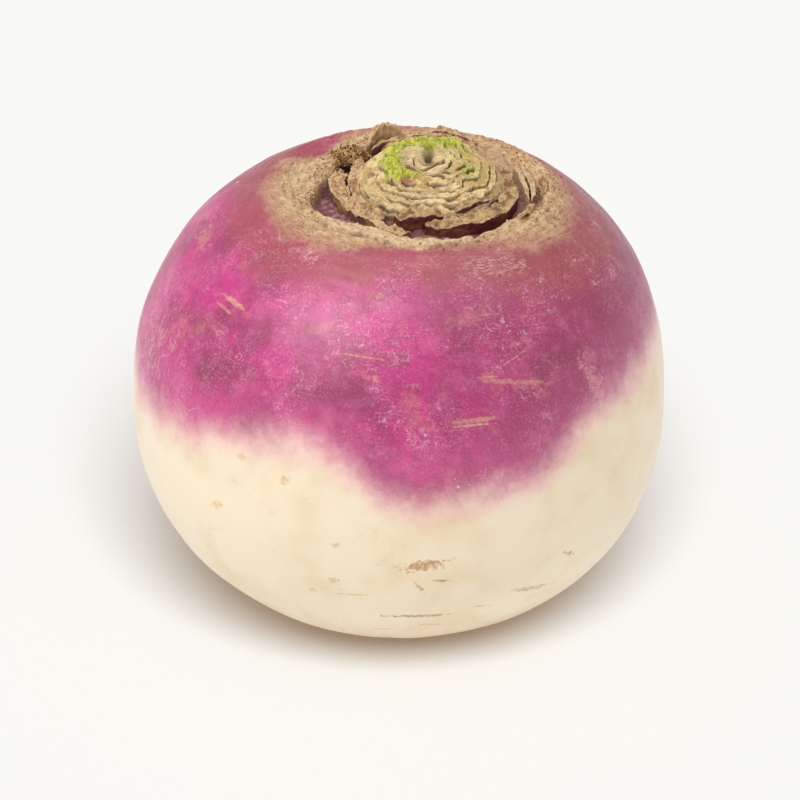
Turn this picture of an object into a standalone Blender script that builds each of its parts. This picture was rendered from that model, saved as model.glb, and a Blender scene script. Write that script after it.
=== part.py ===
"""A purple-top turnip: one globe of root, and the cut leaf bases left in its crown.

Metres, +Z up. The origin is the centre of the small flat spot that the root rests on.
-Y is the front and +X the right-hand side.
"""

import math
from typing import NamedTuple

import bmesh
import bpy
from mathutils import Vector

MM = 0.001

# The globe. Each half is a superellipse turned about Z.
GLOBE_RADIUS = 45.0 * MM
UPPER_RISE = 42.6 * MM  # from the widest level up to where the crown would close
UPPER_POWER = 2.27
LOWER_DROP = 40.1 * MM  # from the widest level down to where the tap root began
LOWER_POWER = 2.18
FLAT_SPOT_RADIUS = 11.0 * MM
BELLY_SHIFT = 1.3 * MM  # how far the belly stands to the left of the flat spot
UPPER_SWAY = 2  # how late the shift grows with the radius, above and below the belly
LOWER_SWAY = 4
LOBE_DEPTH = 0.35 * MM  # how far the shallow lobes move the skin in and out
LOBE_TURN = math.radians(63.0)  # turn of the three-lobed wave against the two-lobed one
LOBE_COUNTS = (3.0, 2.0)  # waves round the globe in each
FLAT_ANGLE = math.radians(0.05)  # faces this close to level, and this low, become one flat spot
FLAT_HEIGHT = 0.13 * MM
SEGMENTS = 60
RINGS = 44

# The crown, a shallow basin to the right of the axis, sunk inside the corky collar.
CROWN_X = 3.7 * MM
RIM_HEIGHT = 37.8 * MM  # above the widest level
CROWN_TILT = 0.045  # rise of the crown's plane for each unit towards the back
FLOOR_RADIUS = 17.8 * MM
RIM_RADIUS = 20.75 * MM
COLLAR_RADIUS = 30.0 * MM
SWAY_RADIUS = 41.85 * MM  # where the rings leave the crown's axis for the globe's
BASIN_DEPTH = 2.6 * MM
FLOOR_DOME = 1.2 * MM

# The leaf bases that stand in the basin.
GAP = 0.4 * MM
DEGREES_PER_COLUMN = 9.0
LEAST_COLUMNS = 4
CUBE = 1.0  # side of the cube that a leaf base is bent from
FOOT_SHARE = 0.75  # width of a leaf base's foot as a share of its cut top's
END_TAPER = 0.3  # share of a leaf base's height that is lost at its two ends
ROUND_TOP_TRIM = 0.06  # share of a round-topped leaf base's length that is left off each end


class LeafBase(NamedTuple):
    """A cut leaf base: a curved wall around the crown's axis, widest at its cut top.

    Angles are in degrees, anticlockwise from +X as seen from above, and lengths in
    millimetres. Outer, inner and rises are evenly spaced stations along the leaf base: how
    far the two edges of its top lie from the leaf's own centre, and how high the inner one
    stands above the crown's plane. Slope is how much lower the outer edge is, lean is how
    far the top stands outside the foot, and back is how far the leaf's own centre lies
    behind the crown's axis.
    """

    name: str
    start: float
    end: float
    outer: tuple
    inner: tuple
    rises: tuple
    slope: float
    lean: float
    back: float
    finish: str


OUTER_BASES = (
    LeafBase(
        name="outer_base_left",
        start=159,
        end=262,
        outer=(16.5, 16.4, 16.2, 16.1, 16.0, 17.4, 17.0),
        inner=(14.4, 13.9, 13.7, 14.1, 14.6, 15.9, 16.1),
        rises=(1.2, 1.1, 0.9, 0.6, 0.3),
        slope=0.5,
        lean=0.0,
        back=0,
        finish="tan",
    ),
    LeafBase(
        name="outer_base_right",
        start=265,
        end=384,
        outer=(15.4, 16.0, 16.1, 16.2, 15.6, 14.0, 14.1),
        inner=(14.7, 14.1, 13.1, 13.5, 12.9, 12.4, 12.5),
        rises=(1.4, 0.9, 0.9, 1.1, 1.3),
        slope=0.4,
        lean=0.0,
        back=0,
        finish="tan",
    ),
    LeafBase(
        name="outer_base_side",
        start=341,
        end=383,
        outer=(18.3, 17.9, 17.8, 17.2, 16.2),
        inner=(17.0, 15.9, 15.1, 14.8, 14.8),
        rises=(1.0, 1.2, 1.3),
        slope=0.3,
        lean=0.0,
        back=0,
        finish="pale",
    ),
    LeafBase(
        name="side_sliver",
        start=347,
        end=372,
        outer=(19.5, 19.4, 19.3),
        inner=(18.7, 18.6, 18.5),
        rises=(0.4, 0.6, 0.5),
        slope=0.0,
        lean=0.1,
        back=0,
        finish="tan",
    ),
    LeafBase(
        name="torn_scrap",
        start=317,
        end=336,
        outer=(19.9, 20.1, 20.0),
        inner=(19.0, 19.2, 19.1),
        rises=(0.9, 1.1, 0.9),
        slope=0.1,
        lean=2.4,
        back=0,
        finish="tan",
    ),
    LeafBase(
        name="back_ridge",
        start=60,
        end=96,
        outer=(17.3, 17.5, 18.0),
        inner=(16.0, 16.1, 16.5),
        rises=(1.5, 2.3, 2.4),
        slope=0.2,
        lean=0.1,
        back=0,
        finish="tan",
    ),
)

MIDDLE_BASES = (
    LeafBase(
        name="middle_base_left",
        start=142,
        end=241,
        outer=(14.6, 13.6, 13.2, 13.4, 14.1, 15.1),
        inner=(12.6, 11.5, 11.3, 12.1, 13.1, 13.3),
        rises=(1.8, 1.6, 1.5, 1.3),
        slope=0.4,
        lean=0.0,
        back=0,
        finish="tan",
    ),
    LeafBase(
        name="middle_base_front",
        start=245,
        end=283,
        outer=(14.9, 14.9, 14.1, 13.1),
        inner=(12.2, 12.2, 12.1, 11.9),
        rises=(1.9, 2.1, 1.9),
        slope=0.7,
        lean=0.0,
        back=0,
        finish="purple",
    ),
    LeafBase(
        name="middle_base_right",
        start=287,
        end=331,
        outer=(12.8, 12.4, 12.1, 12.7),
        inner=(11.6, 11.1, 10.9, 11.6),
        rises=(1.8, 1.9, 1.8),
        slope=0.3,
        lean=-0.3,
        back=0,
        finish="purple",
    ),
    LeafBase(
        name="middle_base_side",
        start=336,
        end=396,
        outer=(12.4, 11.9, 11.7, 11.9, 12.6),
        inner=(11.4, 10.8, 10.6, 10.8, 11.5),
        rises=(1.5, 1.7, 1.8),
        slope=0.1,
        lean=0.0,
        back=0,
        finish="tan",
    ),
    LeafBase(
        name="middle_base_back",
        start=54,
        end=132,
        outer=(15.0, 15.5, 15.3),
        inner=(13.9, 14.5, 14.4),
        rises=(2.0, 2.3, 2.1),
        slope=0.1,
        lean=-0.1,
        back=0,
        finish="tan",
    ),
)

INNER_BASES = (
    LeafBase(
        name="inner_base_left",
        start=141,
        end=231,
        outer=(12.1, 11.0, 10.8, 11.7, 12.2),
        inner=(10.9, 9.6, 9.4, 9.9, 10.6),
        rises=(2.6, 2.4, 2.2),
        slope=0.7,
        lean=-0.1,
        back=0,
        finish="pale",
    ),
    LeafBase(
        name="inner_base_side",
        start=336,
        end=392,
        outer=(10.9, 10.4, 10.2, 10.3, 10.9),
        inner=(9.8, 9.4, 9.3, 9.4, 9.9),
        rises=(2.0, 2.1, 2.2),
        slope=0.1,
        lean=0.0,
        back=0,
        finish="pale",
    ),
    LeafBase(
        name="inner_base_back",
        start=48,
        end=127,
        outer=(13.4, 14.0, 13.9),
        inner=(12.5, 13.1, 13.0),
        rises=(2.2, 2.6, 2.4),
        slope=0.1,
        lean=-0.1,
        back=0,
        finish="pale",
    ),
)

WHORL_LEAVES = (
    LeafBase(
        name="whorl_leaf_front",
        start=235,
        end=328,
        outer=(9.1, 8.9, 8.9, 9.0),
        inner=(8.1, 7.9, 7.9, 8.0),
        rises=(2.8, 3.0, 2.7),
        slope=0.4,
        lean=-1.9,
        back=0,
        finish="cream",
    ),
    LeafBase(
        name="whorl_leaf_left",
        start=126,
        end=207,
        outer=(9.5, 8.5, 8.5),
        inner=(8.8, 7.8, 7.8),
        rises=(3.0, 3.1, 2.8),
        slope=0.3,
        lean=0.0,
        back=2.0,
        finish="cream",
    ),
    LeafBase(
        name="whorl_leaf_side",
        start=333,
        end=384,
        outer=(8.9, 8.9, 8.9),
        inner=(7.9, 7.9, 7.9),
        rises=(2.5, 2.6, 2.7),
        slope=0.2,
        lean=-0.1,
        back=0,
        finish="cream",
    ),
    LeafBase(
        name="whorl_leaf_back",
        start=50,
        end=112,
        outer=(10.1, 10.5, 10.4),
        inner=(9.3, 9.7, 9.7),
        rises=(2.7, 2.9, 2.8),
        slope=0.1,
        lean=-0.1,
        back=2.0,
        finish="cream",
    ),
)

HEART_LEAVES = (
    LeafBase(
        name="heart_leaf_left",
        start=96,
        end=250,
        outer=(9.2, 7.6, 7.2, 8.2),
        inner=(7.4, 5.9, 5.6, 6.9),
        rises=(3.4, 3.4, 3.1),
        slope=0.2,
        lean=0.0,
        back=2.0,
        finish="green",
    ),
    LeafBase(
        name="heart_leaf_right",
        start=260,
        end=370,
        outer=(8.6, 8.5, 7.4, 6.9),
        inner=(7.6, 7.5, 6.5, 6.0),
        rises=(3.1, 3.2, 3.2),
        slope=0.3,
        lean=-0.3,
        back=2.0,
        finish="cream",
    ),
    LeafBase(
        name="heart_leaf_back",
        start=30,
        end=89,
        outer=(7.7, 8.8, 9.1),
        inner=(6.2, 7.2, 7.4),
        rises=(3.3, 3.6, 3.4),
        slope=0.2,
        lean=0.0,
        back=2.0,
        finish="green",
    ),
)

FLAP = LeafBase(
    name="dry_leaf_flap",
    start=101,
    end=131,
    outer=(16.9, 17.5, 17.1),
    inner=(15.9, 16.5, 16.1),
    rises=(4.2, 4.2, 4.2),
    slope=0.0,
    lean=0.1,
    back=0,
    finish="tan",
)

# The tuft of dry fibres at the back left, and the furled bud at the heart.
TUFT_ANGLE = 145.0
TUFT_REACH = 17.2 * MM
TUFT_SIZE = Vector((3.3, 1.5, 1.4)) * MM
TUFT_HEIGHT = 0.6 * MM
TUFT_SUBDIVISIONS = 2
BUD_RADIUS = 4.9 * MM
BUD_TOP_RADIUS = 4.0 * MM
BUD_RISE = 3.2 * MM
BUD_BACK = 2.0 * MM
BUD_SEGMENTS = 28

# Base colour and roughness of each finish.
FINISHES = {
    "skin": ((0.56, 0.10, 0.28, 1.0), 0.42),
    "tan": ((0.56, 0.39, 0.23, 1.0), 0.80),
    "pale": ((0.72, 0.52, 0.38, 1.0), 0.70),
    "purple": ((0.30, 0.06, 0.13, 1.0), 0.55),
    "cream": ((0.74, 0.62, 0.36, 1.0), 0.60),
    "green": ((0.42, 0.48, 0.05, 1.0), 0.60),
}


def smooth_step(low, high, value):
    """0 below low, 1 above high, and a smooth S between them."""
    share = min(max((value - low) / (high - low), 0.0), 1.0)
    return share * share * (3.0 - 2.0 * share)


def superellipse_height(radius, rise, power):
    """Height of a turned superellipse of the globe's radius, at a distance from its axis."""
    ratio = min(radius / GLOBE_RADIUS, 1.0)
    return rise * (1.0 - ratio**power) ** (1.0 / power)


def widest_level():
    """Height of the globe's widest level above the flat spot."""
    return superellipse_height(FLAT_SPOT_RADIUS, LOWER_DROP, LOWER_POWER)


def rim_plane(y):
    """Height of the crown's plane above the flat spot."""
    return widest_level() + RIM_HEIGHT + CROWN_TILT * y


def sway(radius, power):
    """Shift along X of the globe's ring of a radius: the belly stands a little to the left."""
    return -BELLY_SHIFT * (radius / GLOBE_RADIUS) ** power


def upper_skin(x, y):
    """Height of the globe's upper skin, its collar and its basin above the flat spot."""
    reach = math.hypot(x - CROWN_X, y)
    radius = math.hypot(x - sway(math.hypot(x, y), UPPER_SWAY), y)
    skin = widest_level() + superellipse_height(radius, UPPER_RISE, UPPER_POWER)
    collar = 1.0 - smooth_step(RIM_RADIUS, COLLAR_RADIUS, reach)
    outside = skin - max(skin - rim_plane(y), 0.0) * collar
    dome = FLOOR_DOME * (1.0 - min(reach / FLOOR_RADIUS, 1.0) ** 2)
    floor = rim_plane(y) - BASIN_DEPTH + dome
    wall = min(max((reach - FLOOR_RADIUS) / (RIM_RADIUS - FLOOR_RADIUS), 0.0), 1.0)
    return floor + (outside - floor) * wall


def upper_point(polar, turn):
    """Point of the upper half, where polar is 0 at the crown and pi/2 at the widest level."""
    reach = GLOBE_RADIUS * math.sin(polar) ** (2.0 / UPPER_POWER)
    share = smooth_step(COLLAR_RADIUS, SWAY_RADIUS, reach)
    x = CROWN_X * (1.0 - share) + sway(reach, UPPER_SWAY) * share + reach * math.cos(turn)
    y = reach * math.sin(turn)
    return Vector((x, y, upper_skin(x, y)))


def lower_point(polar, turn):
    """Point of the lower half, where polar is pi/2 at the widest level and pi underneath."""
    reach = GLOBE_RADIUS * math.sin(polar) ** (2.0 / LOWER_POWER)
    depth = superellipse_height(reach, LOWER_DROP, LOWER_POWER)
    height = max(widest_level() - depth, 0.0)
    x = sway(reach, LOWER_SWAY) + reach * math.cos(turn)
    return Vector((x, reach * math.sin(turn), height))


def lobes(turn, height):
    """Shallow lobes of the skin, which die out towards the crown and the flat spot."""
    level = widest_level()
    fade = max(1.0 - ((height - level) / level) ** 2, 0.0)
    three, two = LOBE_COUNTS
    return LOBE_DEPTH * fade * (math.cos(three * turn + LOBE_TURN) + math.sin(two * turn))


def collection():
    """Makes the collection that holds the turnip."""
    made = bpy.data.collections.new("turnip")
    bpy.context.scene.collection.children.link(made)
    return made


def finish(name):
    """Makes the Principled material of one finish."""
    colour, roughness = FINISHES[name]
    material = bpy.data.materials.new(name)
    material.use_nodes = True
    shader = material.node_tree.nodes["Principled BSDF"]
    shader.inputs["Base Color"].default_value = colour
    shader.inputs["Roughness"].default_value = roughness
    shader.inputs["Metallic"].default_value = 0.0
    return material


def add_object(name, mesh_builder, material, home):
    """Turns a bmesh into a smooth-shaded object in the turnip's collection."""
    mesh = bpy.data.meshes.new(name)
    mesh_builder.to_mesh(mesh)
    mesh_builder.free()
    mesh.shade_smooth()
    mesh.materials.append(material)
    made = bpy.data.objects.new(name, mesh)
    home.objects.link(made)
    return made


def move_origin(made, place):
    """Sets the object's origin at a place without moving its shape."""
    for vertex in made.data.vertices:
        vertex.co -= place
    made.location = place


def build_root(material, home):
    """The root: a sphere whose points are moved onto the globe, collar and basin."""
    shape = bmesh.new()
    bmesh.ops.create_uvsphere(shape, u_segments=SEGMENTS, v_segments=RINGS, radius=1.0)
    for vertex in shape.verts:
        polar = math.acos(min(max(vertex.co.z, -1.0), 1.0))
        turn = math.atan2(vertex.co.y, vertex.co.x)
        if vertex.co.z >= 0.0:
            place = upper_point(polar, turn)
        else:
            place = lower_point(polar, turn)
        swell = lobes(turn, place.z)
        vertex.co = place + Vector((math.cos(turn), math.sin(turn), 0.0)) * swell
    bmesh.ops.dissolve_limit(
        shape,
        angle_limit=FLAT_ANGLE,
        verts=[vertex for vertex in shape.verts if vertex.co.z < FLAT_HEIGHT],
        edges=[],
    )
    return add_object("root", shape, material, home)


def station(radii, share):
    """Radius at a share of the way along evenly spaced stations, on a Catmull-Rom curve."""
    place = share * (len(radii) - 1)
    index = min(int(place), len(radii) - 2)
    part = place - index
    before = radii[max(index - 1, 0)]
    first = radii[index]
    second = radii[index + 1]
    after = radii[min(index + 2, len(radii) - 1)]
    bend = 2.0 * before - 5.0 * first + 4.0 * second - after
    twist = 3.0 * (first - second) + after - before
    return 0.5 * (2.0 * first + part * (second - before + part * (bend + part * twist)))


def crown_ground(leaf, reach, turn):
    """Height of the skin under a leaf base, at a distance from the leaf's own centre."""
    return upper_skin(CROWN_X + reach * math.cos(turn), leaf.back * MM + reach * math.sin(turn))


def leaf_point(leaf, along, across, up, round_top):
    """Point of a leaf base: along and up run from 0 to 1, across from -0.5 inside to 0.5 outside."""
    turn = math.radians(leaf.start + (leaf.end - leaf.start) * along)
    outer = station(leaf.outer, along) * MM
    inner = station(leaf.inner, along) * MM
    middle = 0.5 * (outer + inner)
    foot = middle - leaf.lean * MM + across * FOOT_SHARE * (outer - inner)
    reach = foot + (middle + across * (outer - inner) - foot) * up
    x = CROWN_X + reach * math.cos(turn)
    y = leaf.back * MM + reach * math.sin(turn)
    bottom = crown_ground(leaf, foot, turn) + GAP
    top = rim_plane(y) + (station(leaf.rises, along) - leaf.slope * (0.5 + across)) * MM
    if round_top:
        share = math.sqrt(max(math.sin(math.pi * along), 0.0))
    else:
        share = 1.0 - END_TAPER * abs(2.0 * along - 1.0) ** 4
    return Vector((x, y, bottom + (top - bottom) * up * share))


def build_leaf(leaf, materials, home, round_top=False):
    """A leaf base: a bar bent around the crown's axis and drawn out to its edges."""
    columns = max(LEAST_COLUMNS, round((leaf.end - leaf.start) / DEGREES_PER_COLUMN))
    shape = bmesh.new()
    bmesh.ops.create_cube(shape, size=CUBE)
    lengthwise = [edge for edge in shape.edges if abs(edge.verts[0].co.x - edge.verts[1].co.x) > CUBE / 2.0]
    bmesh.ops.subdivide_edges(shape, edges=lengthwise, cuts=columns - 1, use_grid_fill=True)
    low = ROUND_TOP_TRIM if round_top else 0.0
    for vertex in shape.verts:
        along = low + (1.0 - 2.0 * low) * (0.5 - vertex.co.x)
        vertex.co = leaf_point(leaf, along, vertex.co.y, vertex.co.z + 0.5, round_top)
    made = add_object(leaf.name, shape, materials[leaf.finish], home)
    move_origin(made, leaf_point(leaf, 0.5, 0.0, 0.0, round_top))
    return made


def build_tuft(material, home):
    """The matted lump of dry fibres between two leaf bases."""
    turn = math.radians(TUFT_ANGLE)
    x = CROWN_X + TUFT_REACH * math.cos(turn)
    y = TUFT_REACH * math.sin(turn)
    shape = bmesh.new()
    bmesh.ops.create_icosphere(shape, subdivisions=TUFT_SUBDIVISIONS, radius=1.0)
    bmesh.ops.scale(shape, vec=TUFT_SIZE, verts=shape.verts)
    made = add_object("fibre_tuft", shape, material, home)
    made.location = (x, y, rim_plane(y) + TUFT_HEIGHT)
    made.rotation_euler = (0.0, 0.0, turn + math.pi / 2.0)
    return made


def build_bud(material, home):
    """The furled bud of small leaves at the heart."""
    foot = upper_skin(CROWN_X, 0.0) + GAP
    height = rim_plane(BUD_BACK) + BUD_RISE - foot
    shape = bmesh.new()
    bmesh.ops.create_cone(
        shape,
        cap_ends=True,
        segments=BUD_SEGMENTS,
        radius1=BUD_RADIUS,
        radius2=BUD_TOP_RADIUS,
        depth=height,
    )
    bmesh.ops.translate(shape, vec=(0.0, 0.0, height / 2.0), verts=shape.verts)
    made = add_object("heart_bud", shape, material, home)
    made.location = (CROWN_X, BUD_BACK, foot)
    return made


def clear_scene():
    """Removes whatever the scene holds."""
    for found in list(bpy.data.objects):
        bpy.data.objects.remove(found, do_unlink=True)


def build_turnip():
    """Builds every piece of the turnip."""
    home = collection()
    materials = {name: finish(name) for name in FINISHES}
    build_root(materials["skin"], home)
    for leaf in OUTER_BASES + MIDDLE_BASES + INNER_BASES + WHORL_LEAVES + HEART_LEAVES:
        build_leaf(leaf, materials, home)
    build_leaf(FLAP, materials, home, round_top=True)
    build_tuft(materials["tan"], home)
    build_bud(materials["green"], home)


clear_scene()
build_turnip()
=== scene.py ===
"""The look of a purple-top turnip: its skin, corky collar and the cut leaves of its crown.

Metres, +Z up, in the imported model's own frame: the origin is the centre of the flat spot
that the root rests on, -Y is the front and +X the right-hand side. Each piece takes its
size and place from the solid that it stands for. Fine sizes are in millimetres times MM.
"""

import itertools
import logging
import math
from dataclasses import dataclass, field
from enum import Enum

import bmesh
import bpy
import numpy as np
from mathutils import Matrix, Vector


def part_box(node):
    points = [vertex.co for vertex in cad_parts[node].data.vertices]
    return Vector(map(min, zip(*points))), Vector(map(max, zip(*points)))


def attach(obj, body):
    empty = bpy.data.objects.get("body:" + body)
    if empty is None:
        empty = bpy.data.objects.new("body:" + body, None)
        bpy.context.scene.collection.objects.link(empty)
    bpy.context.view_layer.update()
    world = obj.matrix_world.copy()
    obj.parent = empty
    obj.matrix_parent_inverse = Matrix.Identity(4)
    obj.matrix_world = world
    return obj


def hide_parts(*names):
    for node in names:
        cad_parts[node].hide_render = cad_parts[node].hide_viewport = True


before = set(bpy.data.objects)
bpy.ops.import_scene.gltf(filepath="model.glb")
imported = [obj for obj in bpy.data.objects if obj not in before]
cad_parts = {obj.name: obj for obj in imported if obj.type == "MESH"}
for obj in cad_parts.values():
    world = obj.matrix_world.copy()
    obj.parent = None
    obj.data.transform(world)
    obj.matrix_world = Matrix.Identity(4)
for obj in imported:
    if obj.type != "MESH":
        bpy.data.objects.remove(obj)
log = logging.getLogger("turnip")

MM = 0.001
BODY = "root"
Colour = tuple[float, float, float, float]
Levels = tuple[float, ...]
Traits = dict[str, np.ndarray]


def tint(red: int, green: int, blue: int) -> Colour:
    """Turns a display colour, 0 to 255 a channel, into the linear one that shaders take."""
    share = [level / 255.0 for level in (red, green, blue)]
    linear = [s / 12.92 if s <= 0.04045 else ((s + 0.055) / 1.055) ** 2.4 for s in share]
    return (linear[0], linear[1], linear[2], 1.0)


def ease(low: float, high: float, value: np.ndarray) -> np.ndarray:
    """Rises from 0 at low to 1 at high with a smooth S between them."""
    share = np.clip((value - low) / (high - low), 0.0, 1.0)
    return share * share * (3.0 - 2.0 * share)


def near(value: np.ndarray, centre: float | np.ndarray, width: float, power: int = 2) -> np.ndarray:
    """Falls from 1 at the centre to 0 well past the width, with a flatter top at a higher power."""
    return np.exp(-(((value - centre) / width) ** power))


def joined(*parts: np.ndarray | float) -> np.ndarray:
    """Puts numbers side by side along a new last axis."""
    return np.stack(np.broadcast_arrays(*parts), axis=-1)


def full_turn(stations: int) -> np.ndarray:
    """Angles spaced evenly round a circle."""
    return np.linspace(0.0, 2.0 * np.pi, stations, endpoint=False)


def around(levels: Levels, turn: np.ndarray) -> np.ndarray:
    """Reads a closed smooth curve through evenly spaced stations.

    Args:
        levels: the stations, the first of them at angle 0, anticlockwise from above.
        turn: angles in radians.

    Returns:
        The curve's value at each angle.
    """
    stations = np.asarray(levels, float)
    place = (turn / (2.0 * np.pi)) % 1.0 * len(stations)
    index = np.floor(place).astype(int)
    part = place - index
    before, first, second, after = (stations[(index + k) % len(stations)] for k in (-1, 0, 1, 2))
    bend = 2.0 * before - 5.0 * first + 4.0 * second - after
    twist = 3.0 * (first - second) + after - before
    return 0.5 * (2.0 * first + part * (second - before + part * (bend + part * twist)))


class Noise:
    """Smooth lumpy noise of points in space, the same on every run."""

    TABLE = 256

    def __init__(self, seed: int) -> None:
        """Shuffles the lattice's slopes for one seed."""
        source = np.random.default_rng(seed)
        self.order = source.permutation(self.TABLE)
        slopes = source.normal(size=(self.TABLE, 3))
        self.slopes = slopes / np.linalg.norm(slopes, axis=1, keepdims=True)

    def at(self, points: np.ndarray, size: float) -> np.ndarray:
        """Noise of about -1 to 1.

        Args:
            points: places, the last axis of length 3.
            size: the width of a lump, in the same unit.

        Returns:
            The noise at each place.
        """
        place = points / size
        cell = np.floor(place).astype(int)
        part = place - cell
        fade = part**3 * (part * (part * 6.0 - 15.0) + 10.0)
        total = np.zeros(points.shape[:-1])
        for corner in itertools.product((0, 1), repeat=3):
            offset = np.array(corner)
            share = np.prod(np.where(offset == 1, fade, 1.0 - fade), axis=-1)
            picked = 0
            for axis in range(3):
                picked = self.order[(picked + cell[..., axis] + offset[axis]) & (self.TABLE - 1)]
            total += share * np.sum(self.slopes[picked] * (part - offset), axis=-1)
        return 1.7 * total

    def layered(self, points: np.ndarray, size: float, layers: int) -> np.ndarray:
        """Noise with finer and fainter noise added, each layer half as large and half as strong."""
        halves = [0.5**layer for layer in range(layers)]
        return sum(half * self.at(points + 31.7 * half, size * half) for half in halves)

    def ridged(self, points: np.ndarray, size: float, layers: int) -> np.ndarray:
        """Noise of sharp crests, 0 to about 1."""
        halves = [0.5**layer for layer in range(layers)]
        crests = [half * (1.0 - np.abs(self.at(points + 17.3 * half, size * half))) for half in halves]
        return sum(crests) / sum(halves)


def shell_faces(rings: int, columns: int, first: int = 0) -> list[list[int]]:
    """Faces of a closed shell: rings of points in order, joined by quads and capped at both ends.

    Args:
        rings: number of rings.
        columns: number of points in a ring.
        first: the number of its first point.

    Returns:
        The point numbers of each face.
    """
    index = np.arange(rings * columns).reshape(rings, columns) + first
    wrapped = np.hstack([index, index[:, :1]])
    corners = (wrapped[:-1, :-1], wrapped[:-1, 1:], wrapped[1:, 1:], wrapped[1:, :-1])
    return np.stack(corners, axis=-1).reshape(-1, 4).tolist() + index[[0, -1]].tolist()


def show(name: str, data: bpy.types.ID) -> bpy.types.Object:
    """Puts a mesh, a lamp or a camera in the scene as an object at the origin."""
    made = bpy.data.objects.new(name, data)
    bpy.context.scene.collection.objects.link(made)
    return made


def make_piece(
    name: str, points: np.ndarray, faces: list[list[int]], traits: Traits, material: bpy.types.Material
) -> bpy.types.Object:
    """Makes a smooth-shaded mesh object with its own attributes.

    Args:
        name: the piece's name.
        points: the places of its vertices, in metres.
        faces: point numbers of each face.
        traits: attribute name to one number, or one vector, for each vertex.
        material: its finish.

    Returns:
        The object, at the origin.
    """
    mesh = bpy.data.meshes.new(name)
    mesh.from_pydata(points.reshape(-1, 3).tolist(), [], faces)
    for label, values in traits.items():
        values = np.asarray(values, np.float32)
        vector = values.size == 3 * len(mesh.vertices)
        made = mesh.attributes.new(label, "FLOAT_VECTOR" if vector else "FLOAT", "POINT")
        made.data.foreach_set("vector" if vector else "value", values.ravel())
    shape = bmesh.new()
    shape.from_mesh(mesh)
    bmesh.ops.recalc_face_normals(shape, faces=shape.faces)
    shape.to_mesh(mesh)
    shape.free()
    mesh.shade_smooth()
    mesh.materials.append(material)
    return show(name, mesh)


def settle(piece: bpy.types.Object, slot: str, *nodes: str) -> None:
    """Puts a finished piece on the turnip's body in place of its solids.

    Args:
        piece: the finished piece.
        slot: the record's material slot for the piece, which is not used.
        nodes: the solids that it stands for, or none if it is detail on another piece.
    """
    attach(piece, BODY)
    if nodes:
        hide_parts(*nodes)
    log.info("%s: %d faces, for %s", piece.name, len(piece.data.polygons), ", ".join(nodes) or "detail")


# ---------------------------------------------------------------- node trees


class Flow:
    """An output in a node tree, which sums can be written with."""

    def __init__(self, nodes: "Nodes", socket: bpy.types.NodeSocket) -> None:
        """Keeps the output and the tree that it belongs to."""
        self.nodes, self.socket = nodes, socket

    def __add__(self, other: "Flow | float") -> "Flow":
        """The output and another one, or a number, added."""
        return self.nodes.math("ADD", self, other)

    def __sub__(self, other: "Flow | float") -> "Flow":
        """The output less another one, or a number."""
        return self.nodes.math("SUBTRACT", self, other)

    def __rsub__(self, other: float) -> "Flow":
        """A number less the output."""
        return self.nodes.math("SUBTRACT", other, self)

    def __mul__(self, other: "Flow | float") -> "Flow":
        """The output times another one, or a number."""
        return self.nodes.math("MULTIPLY", self, other)

    def step(self, low: float, high: float) -> "Flow":
        """A smooth step from 0 at low to 1 at high."""
        values = {"Value": self, "From Min": low, "From Max": high}
        return self.nodes.add("ShaderNodeMapRange", "Result", values, interpolation_type="SMOOTHSTEP")

    def over(self, base: "Flow | Colour", colour: "Flow | Colour", amount: float = 1.0) -> "Flow":
        """Lays a colour over another one.

        Args:
            base: the colour where this output is 0.
            colour: the colour where it is 1.
            amount: how much of the colour shows there.

        Returns:
            The mixed colour.
        """
        share = self if amount == 1.0 else self * amount
        # A mix node has the sockets of its colours after those of its numbers and its vectors.
        return self.nodes.add("ShaderNodeMix", 2, {0: share, 6: base, 7: colour}, data_type="RGBA")


class Nodes:
    """A node tree that is written in short calls."""

    def __init__(self, tree: bpy.types.NodeTree) -> None:
        """Keeps the tree."""
        self.tree = tree

    @staticmethod
    def find(sockets: bpy.types.bpy_prop_collection, name: str | int) -> bpy.types.NodeSocket:
        """Finds a socket by its number, or by its name among those in use."""
        if isinstance(name, int):
            return sockets[name]
        return next(found for found in sockets if found.name == name and found.enabled)

    def feed(self, socket: bpy.types.NodeSocket, value: object) -> None:
        """Links a socket to an output, or sets it to a constant."""
        if isinstance(value, Flow):
            self.tree.links.new(value.socket, socket)
        else:
            socket.default_value = value

    def add(self, kind: str, output: str | int, values: dict, **settings: object) -> Flow:
        """Adds a node.

        Args:
            kind: the node's type.
            output: the output that is wanted.
            values: an input's name or number to the output or constant that it takes.
            settings: the node's own properties.

        Returns:
            The output.
        """
        made = self.tree.nodes.new(kind)
        for name, value in settings.items():
            setattr(made, name, value)
        for name, value in values.items():
            self.feed(self.find(made.inputs, name), value)
        return Flow(self, self.find(made.outputs, output))

    def math(self, operation: str, *values: Flow | float, **settings: object) -> Flow:
        """One sum on numbers or outputs."""
        taken = dict(enumerate(values))
        return self.add("ShaderNodeMath", "Value", taken, operation=operation, **settings)

    def vector_math(self, operation: str, output: str, values: dict) -> Flow:
        """One sum on vectors."""
        return self.add("ShaderNodeVectorMath", output, values, operation=operation)


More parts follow.
